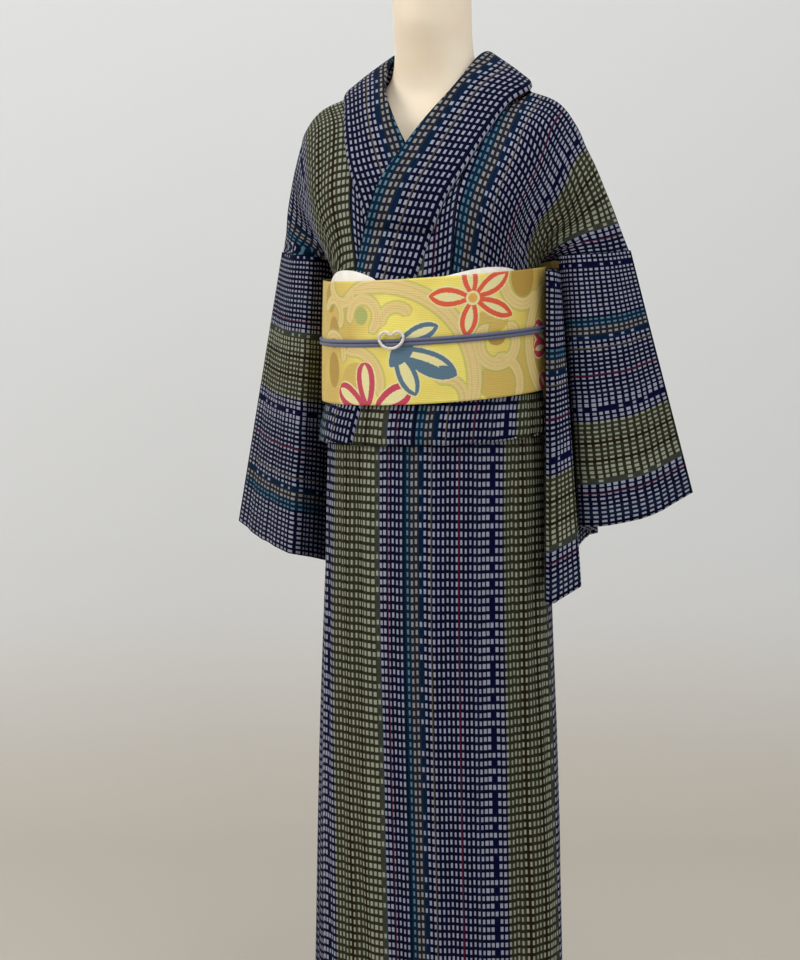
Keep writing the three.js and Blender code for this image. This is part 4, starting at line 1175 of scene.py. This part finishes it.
# Each finish: how it is made, whose colours it has and its name.
FINISHES = {
    "kasuri": (kasuri_paint, "kasuri", "navy_kasuri_silk"),
    "belt_silk": (belt_paint, "belt", "flowered_belt_silk"),
    "crepe": (crepe_paint, "belt", "cream_crepe_silk"),
    "braid": (braid_paint, "belt", "blue_grey_braid"),
    "pearl": (pearl_paint, "belt", "pearl_ring"),
    "form_skin": (skin_paint, "form", "smooth_skin"),
    "steel": (steel_paint, "form", "stand_steel"),
    "wall": (backdrop_paint, "form", "pale_wall"),
}


def finish_of(context, finish):
    """The material of a finish, made once."""
    make, group, name = FINISHES[finish]
    return bpy.data.materials.get(name) or make(getattr(context.scene.kimono, group), name)


# ---- the belt's swell, the brooch, the form and the wall -----------------------------------------
def belt_swell(s, z):
    """The belt's soft hollows and a faint edge roll, in millimetres outwards."""
    hollow = sum(depth * np.exp(-((s - place) / width) ** 2 - ((z - middle) / height) ** 2)
                 for place, width, middle, height, depth in BELT_SWELLS)
    groove = CORD_SET_IN * math.exp(-((z - CORD_Z) / (2.4 * CORD_RADIUS)) ** 4)
    roll = 0.9 * math.sin(math.pi * (z - BELT_BOTTOM_Z) / (BELT_TOP_Z - BELT_BOTTOM_Z)) - 0.45
    return hollow - groove + roll


def brooch_path():
    """The closed heart-shaped line of the ring, lying on the cords."""
    turn = np.linspace(0, 2 * np.pi, 97)[:-1]
    across = BROOCH_HALF_WIDTH * np.sin(turn) * (1 + 0.12 * np.cos(turn))
    notch = BROOCH_NOTCH * np.exp(-(np.sin(turn) / 0.3) ** 2) * (np.cos(turn) > 0)
    up = BROOCH_HALF_HEIGHT * np.cos(turn) - notch
    out = CORD_BED + 2 * CORD_RADIUS + BROOCH_RADIUS + 2 * SEAM_GAP
    return np.stack([belt_points(BELT_SECTIONS, across[k:k + 1], BROOCH_Z + up[k], out)[0]
                     for k in range(len(turn))])


def form_mesh(name, paint):
    """The form: rings from its sections, rounded over at the neck and closed below."""
    top, turn = FORM_SECTIONS[-1][0], np.linspace(0, 2 * np.pi, 73)[:-1]
    levels = [(z, 0) for z in np.linspace(FORM_SECTIONS[0][0], top - FORM_EDGE, 130)]
    levels += [(top - FORM_EDGE * (1 - math.sin(a)), FORM_EDGE * (1 - math.cos(a)))
               for a in np.linspace(0.3, math.pi / 2, 6)]
    bm = bmesh.new()
    rings = []
    for z, inset in levels:
        side, front, back = (radius - inset for radius in section(FORM_SECTIONS, z))
        depth = np.where(np.cos(turn) > 0, front, back)
        places = np.stack([side * np.sin(turn), -depth * np.cos(turn), np.full(len(turn), z)], -1)
        ring = [bm.verts.new(Vector(place) * MM) for place in places]
        rings.append([bm.edges.new(pair) for pair in zip(ring, ring[1:] + ring[:1])])
    for lower, upper in zip(rings, rings[1:]):
        bmesh.ops.bridge_loops(bm, edges=lower + upper)
    for ring in (rings[0], rings[-1]):
        bmesh.ops.holes_fill(bm, edges=ring, sides=0)
    bmesh.ops.recalc_face_normals(bm, faces=bm.faces)
    return finished(name, bm, paint)


def backdrop_mesh(name, paint):
    """A floor that curves up into a wall, turned to face the camera."""
    run = [(-STAGE_REACH, 0)]
    for angle in np.linspace(0, math.pi / 2, 25):
        run.append((WALL_DISTANCE - WALL_BEND * (1 - math.sin(angle)), WALL_BEND * (1 - math.cos(angle))))
    run.append((WALL_DISTANCE, STAGE_REACH))
    bm = bmesh.new()
    line = [bm.verts.new((-STAGE_REACH, away, up)) for away, up in run]
    edges = [bm.edges.new(pair) for pair in zip(line, line[1:])]
    swept = bmesh.ops.extrude_edge_only(bm, edges=edges)["geom"]
    bmesh.ops.translate(bm, verts=[g for g in swept if isinstance(g, bmesh.types.BMVert)],
                        vec=(2 * STAGE_REACH, 0, 0))
    bmesh.ops.rotate(bm, verts=bm.verts, cent=(0, 0, 0), matrix=Matrix.Rotation(CAMERA_AZIMUTH, 3, "Z"))
    bmesh.ops.recalc_face_normals(bm, faces=bm.faces)
    if min(bm.faces, key=lambda f: f.calc_center_median().z).normal.z < 0:
        bmesh.ops.reverse_faces(bm, faces=bm.faces)
    return placed(name, bm, paint)


# ---- the room ------------------------------------------------------------------------------------
STAGE_REACH = 6.0
WALL_DISTANCE = 1.6
WALL_BEND = 0.5
WORLD_STRENGTH = 0.32
CAMERA_AZIMUTH = math.radians(22)
CAMERA_PITCH = math.radians(6.5)
CAMERA_DISTANCE = 2.288
CAMERA_HEIGHT = 1.107
CAMERA_LENS = 67.65
CAMERA_SENSOR = 36
CAMERA_SHIFT = -0.0375
SKY = (0.9, 0.95, 1.0, 1)
# Lights: name, place, where they point, width, power, warmth.
LIGHTS = [("window", (-2.6, -2.2, 2.4), (0, 0, 0.9), 2.0, 64, (1.0, 0.98, 0.95)),
          ("fill", (2.8, -2.4, 1.6), (0, 0, 0.9), 2.4, 25, (0.97, 0.98, 1.0)),
          ("top", (0.4, -0.6, 3.4), (0, 0, 0.8), 2.6, 24, (1.0, 1.0, 1.0)),
          ("wall", (1.2, -1.0, 3.2), (-1.0, 1.6, 1.2), 2.4, 20, (1.0, 0.99, 0.97))]


def soft_light(name, place, target, width, power, warmth):
    data = bpy.data.lights.new(name, "AREA")
    data.size = width
    data.energy = power
    data.color = warmth
    lamp = bpy.data.objects.new(name, data)
    lamp.location = place
    lamp.rotation_euler = (Vector(target) - Vector(place)).to_track_quat("-Z", "Y").to_euler()
    bpy.context.scene.collection.objects.link(lamp)


def place_camera(scene):
    data = bpy.data.cameras.new("Camera")
    data.lens = CAMERA_LENS
    data.sensor_width = CAMERA_SENSOR
    data.shift_x = CAMERA_SHIFT
    camera = bpy.data.objects.new("Camera", data)
    x, y = math.sin(CAMERA_AZIMUTH), -math.cos(CAMERA_AZIMUTH)
    camera.location = (x * CAMERA_DISTANCE, y * CAMERA_DISTANCE, CAMERA_HEIGHT)
    camera.rotation_euler = (math.pi / 2 - CAMERA_PITCH, 0, CAMERA_AZIMUTH)
    scene.collection.objects.link(camera)
    scene.camera = camera


# ---- what a user may change ----------------------------------------------------------------------
def tint(label, text, red, green, blue):
    return FloatVectorProperty(name=label, description=text, size=3, subtype="COLOR_GAMMA", min=0, max=1,
                               default=(red / 255, green / 255, blue / 255))


def wall_size(label, text, millimetres):
    return FloatProperty(name=label, description=text, unit="LENGTH", min=0.0005, max=0.02,
                         default=millimetres * MM)


class KasuriTints(bpy.types.PropertyGroup):
    """Colours of the garment's silk."""
    navy: tint("Navy", "Ground of the blue stripes", 6, 9, 38)
    navy_dot: tint("Navy dots", "Dots on the blue stripes", 156, 159, 176)
    blue: tint("Blue", "Ground of the gap columns", 6, 10, 48)
    dusk: tint("Dusk", "Greener ground among the navy", 13, 24, 48)
    teal: tint("Teal", "Ground of the narrow green-blue stripe", 8, 34, 56)
    teal_dot: tint("Teal dots", "Dots on the green-blue stripe", 92, 124, 142)
    umber: tint("Umber", "Grey-brown ground beside the teal", 32, 34, 44)
    cream_dot: tint("Cream dots", "Dots on the grey-brown ground", 144, 143, 142)
    sea: tint("Sea", "Ground of the gap beside the teal", 5, 30, 58)
    olive: tint("Olive", "Ground of the olive stripe", 62, 63, 47)
    olive_shade: tint("Olive shade", "The olive ground between rows of dots", 28, 28, 18)
    olive_dot: tint("Olive dots", "Dots on the olive stripe", 158, 160, 142)
    moss: tint("Moss", "Ground of the gap in the olive", 56, 62, 58)
    brown: tint("Brown", "Lines inside the olive stripe", 34, 26, 14)
    red: tint("Red", "Thin line in the blue stripe", 90, 20, 45)
    yellow: tint("Yellow", "Thin line beside the teal stripe", 150, 128, 70)


class BeltTints(bpy.types.PropertyGroup):
    """Colours of the belt set."""
    lemon: tint("Lemon", "Brightest ground of the belt", 255, 236, 116)
    gold: tint("Gold", "Duller ground of the belt", 220, 188, 94)
    ochre: tint("Ochre", "Ovals and lines of the scrolls", 192, 154, 68)
    tan: tint("Tan", "Scrolls", 240, 212, 140)
    sage: tint("Sage", "Outline of the scrolls", 182, 186, 104)
    eye: tint("Eye", "Heart of the lily", 236, 178, 82)
    cream: tint("Cream", "Edge and heart of the petals", 245, 235, 170)
    orange: tint("Orange", "Lily petals", 236, 92, 54)
    crimson: tint("Crimson", "Round petals", 208, 66, 90)
    slate: tint("Slate", "Blue leaves", 92, 122, 142)
    cord: tint("Cord", "Raised strands of the cord", 108, 113, 140)
    # Painted shade: this darker colour is painted into the grooves between the cord's strands.
    cord_painted_shade: tint("Cord shade", "Between the cord's strands", 66, 68, 90)
    crepe: tint("Crepe", "The sash above the belt", 238, 232, 218)
    crepe_shade: tint("Crepe shade", "Paler clouds of the sash", 246, 243, 236)
    pearl: tint("Pearl", "The ring on the cord", 232, 226, 216)
    pearl_shade: tint("Pearl shade", "Clouds in the ring", 214, 208, 200)


class FormTints(bpy.types.PropertyGroup):
    """Colours of the form, its stand and the room."""
    skin: tint("Skin", "The form", 255, 239, 214)
    skin_shade: tint("Skin shade", "Faint clouds on the form", 253, 233, 205)
    steel: tint("Steel", "The pole and base", 176, 178, 180)
    steel_shade: tint("Steel shade", "Brush marks in the steel", 150, 152, 155)
    wall: tint("Wall", "The wall behind", 233, 234, 234)
    floor: tint("Floor", "The floor", 200, 192, 180)


class ClothWalls(bpy.types.PropertyGroup):
    """How thick each cloth is."""
    silk: wall_size("Silk", "One layer of the garment", 1.2)
    collar: wall_size("Collar", "The folded collar", 2.4)
    belt: wall_size("Belt", "The lined belt", 2.4)
    sash: wall_size("Sash", "The folded sash", 2.6)


class KimonoSettings(bpy.types.PropertyGroup):
    """Everything that can be changed."""
    kasuri: PointerProperty(type=KasuriTints)
    belt: PointerProperty(type=BeltTints)
    form: PointerProperty(type=FormTints)
    walls: PointerProperty(type=ClothWalls)


# ---- laying the pieces ---------------------------------------------------------------------------
def widest_cut(patches):
    """Width across the bolt and length along it of what the patches cover, in metres."""
    u = np.concatenate([u.ravel() for _, u, _ in patches])
    v = np.concatenate([v.ravel() for _, _, v in patches])
    return float(np.ptp(u)) * MM, float(np.ptp(v)) * MM


def lay_sheet(context, node, patches, held, below, slot="kasuri", wall="silk", width=None, **shape):
    thickness = getattr(context.scene.kimono.walls, wall) / MM
    piece = grid_mesh(f"cloth_{node}", patches, finish_of(context, slot), thickness, **shape)
    flat = widest_cut(patches)
    if width:
        flat = (width * MM, flat[1])
    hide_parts(node)
    min(cut_area(patches), flat[0] * flat[1])


def lay_tube(context, name, path, radius, sides, node, slot):
    """Makes one closed round tube in place of its node."""
    piece = grid_mesh(name, [tube_patch(path, radius, sides)], finish_of(context, slot), closed=True)
    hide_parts(node)


SIDES = (("left", 1), ("right", -1))


# ---- operators -----------------------------------------------------------------------------------
class KIMONO_OT_bodices(bpy.types.Operator):
    """Builds the two body panels above the belt and their tuck below it"""
    bl_idname = "kimono.bodices"
    bl_label = "Body panels"

    def execute(self, context):
        for name, side in SIDES:
            lay_sheet(context, f"bodice_{name}", bodice_patches(side), "hung", "dress_form")
        return {"FINISHED"}


class KIMONO_OT_overlaps(bpy.types.Operator):
    """Builds the upper stretches of the two front overlap panels"""
    bl_idname = "kimono.overlaps"
    bl_label = "Overlap panels"

    def execute(self, context):
        for name, side in SIDES:
            lay_sheet(context, f"okumi_{name}", [okumi_patch(side)], "hung", "dress_form")
        return {"FINISHED"}


class KIMONO_OT_skirts(bpy.types.Operator):
    """Builds the six panels that hang below the belt"""
    bl_idname = "kimono.skirts"
    bl_label = "Skirt panels"

    def execute(self, context):
        to_the_back = math.inf
        panels = [("front", FRONT_SEAM_S + SEAM_GAP, SIDE_SEAM_S - SEAM_GAP),
                  ("back", SIDE_SEAM_S + SEAM_GAP, to_the_back),
                  ("okumi", FRONT_SEAM_S - OKUMI_WIDTH, FRONT_SEAM_S - SEAM_GAP)]
        for name, side in SIDES:
            for panel, first, last in panels:
                patches = [skirt_patch(panel, first, last, side)]
                lay_sheet(context, f"skirt_{name}_{panel}", patches, "hung", "dress_form")
        return {"FINISHED"}


class KIMONO_OT_collars(bpy.types.Operator):
    """Builds the collar and the over-collar sewn on it"""
    bl_idname = "kimono.collars"
    bl_label = "Collars"

    def execute(self, context):
        lay_sheet(context, "collar", [collar_grid()[0]], "folded", "bodice_left", wall="collar",
                  centre=COLLAR_CENTRE)
        lay_sheet(context, "over_collar", [over_collar_grid()], "folded", "collar", centre=COLLAR_CENTRE)
        return {"FINISHED"}


class KIMONO_OT_sleeves(bpy.types.Operator):
    """Builds the two hanging sleeves"""
    bl_idname = "kimono.sleeves"
    bl_label = "Sleeves"

    def execute(self, context):
        for (name, side), table in zip(SIDES, (LEFT_SLEEVE, RIGHT_SLEEVE)):
            lay_sheet(context, f"sleeve_{name}", [sleeve_patch(table, side)], "hung", f"bodice_{name}",
                      width=SLEEVE_WIDTH, closed=True)
        return {"FINISHED"}


class KIMONO_OT_belt(bpy.types.Operator):
    """Builds the belt, its drum at the back and the tail below it"""
    bl_idname = "kimono.belt"
    bl_label = "Belt, drum and tail"

    def execute(self, context):
        drum = back_fold(DRUM_PROFILE, DRUM_HALF_WIDTH)
        tail = back_fold(TAIL_PROFILE, DRUM_HALF_WIDTH - 2)
        silk = {"slot": "belt_silk", "wall": "belt"}
        lay_sheet(context, "obi_band", [belt_patch()], "gathered", "bodice_left", **silk)
        lay_sheet(context, "obi_drum", [drum], "folded", "obi_band", closed=True, **silk)
        lay_sheet(context, "obi_tail", [tail], "hung", "obi_drum", **silk)
        return {"FINISHED"}


class KIMONO_OT_sash(bpy.types.Operator):
    """Builds the crepe sash that shows above the belt"""
    bl_idname = "kimono.sash"
    bl_label = "Sash"

    def execute(self, context):
        lay_sheet(context, "obiage", [sash_patch()], "folded", "obi_band", slot="crepe", wall="sash")
        return {"FINISHED"}


class KIMONO_OT_cords(bpy.types.Operator):
    """Builds the two cords round the belt and the heart-shaped ring on them"""
    bl_idname = "kimono.cords"
    bl_label = "Cords and brooch"

    def execute(self, context):
        for name, step in (("upper", 1), ("lower", -1)):
            z = CORD_Z + step * (CORD_RADIUS + SEAM_GAP / 2)
            half = half_girth(BELT_SECTIONS, z)
            s = np.linspace(-half, half, 301)[:-1]
            path = belt_points(BELT_SECTIONS, s, z, CORD_BED + CORD_RADIUS + SEAM_GAP)
            path[0, 0] = 0
            lay_tube(context, f"cord_{name}", path, CORD_RADIUS, 12, f"obijime_{name}", "braid")
        lay_tube(context, "ring_brooch", brooch_path(), BROOCH_RADIUS, 14, "obidome", "pearl")
        return {"FINISHED"}


class KIMONO_OT_form(bpy.types.Operator):
    """Builds the smooth form and gives its pole and base their steel"""
    bl_idname = "kimono.form"
    bl_label = "Form and stand"

    def execute(self, context):
        piece = form_mesh("smooth_form", finish_of(context, "form_skin"))
        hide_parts("dress_form")
        for node in ("stand_pole", "stand_base"):
            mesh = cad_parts[node].data
            mesh.materials.clear()
            mesh.materials.append(finish_of(context, "steel"))
        return {"FINISHED"}


class KIMONO_OT_stage(bpy.types.Operator):
    """Builds the floor, the wall, the lights and the camera"""
    bl_idname = "kimono.stage"
    bl_label = "Stage"

    def execute(self, context):
        backdrop_mesh("backdrop", finish_of(context, "wall"))
        for light in LIGHTS:
            soft_light(*light)
        world = bpy.data.worlds.new("Studio")
        world.use_nodes = True
        sky = world.node_tree.nodes["Background"]
        sky.inputs["Color"].default_value = SKY
        sky.inputs["Strength"].default_value = WORLD_STRENGTH
        context.scene.world = world
        context.scene.view_settings.view_transform = "Standard"
        place_camera(context.scene)
        return {"FINISHED"}


class KIMONO_PT_panel(bpy.types.Panel):
    """Lists the garment's operators"""
    bl_label = "Kimono"
    bl_idname = "KIMONO_PT_panel"
    bl_space_type = "VIEW_3D"
    bl_region_type = "UI"
    bl_category = "Kimono"

    def draw(self, context):
        for operator in OPERATORS:
            self.layout.operator(operator.bl_idname)


OPERATORS = (KIMONO_OT_bodices, KIMONO_OT_overlaps, KIMONO_OT_skirts, KIMONO_OT_collars, KIMONO_OT_sleeves,
             KIMONO_OT_belt, KIMONO_OT_sash, KIMONO_OT_cords, KIMONO_OT_form, KIMONO_OT_stage)
CLASSES = (KasuriTints, BeltTints, FormTints, ClothWalls, KimonoSettings, *OPERATORS, KIMONO_PT_panel)


def register():
    for kind in CLASSES:
        bpy.utils.register_class(kind)
    bpy.types.Scene.kimono = PointerProperty(type=KimonoSettings)


def unregister():
    del bpy.types.Scene.kimono
    for kind in reversed(CLASSES):
        bpy.utils.unregister_class(kind)


def main():
    register()
    for operator in OPERATORS:
        group, name = operator.bl_idname.split(".")
        getattr(getattr(bpy.ops, group), name)()


if __name__ == "__main__":
    main()
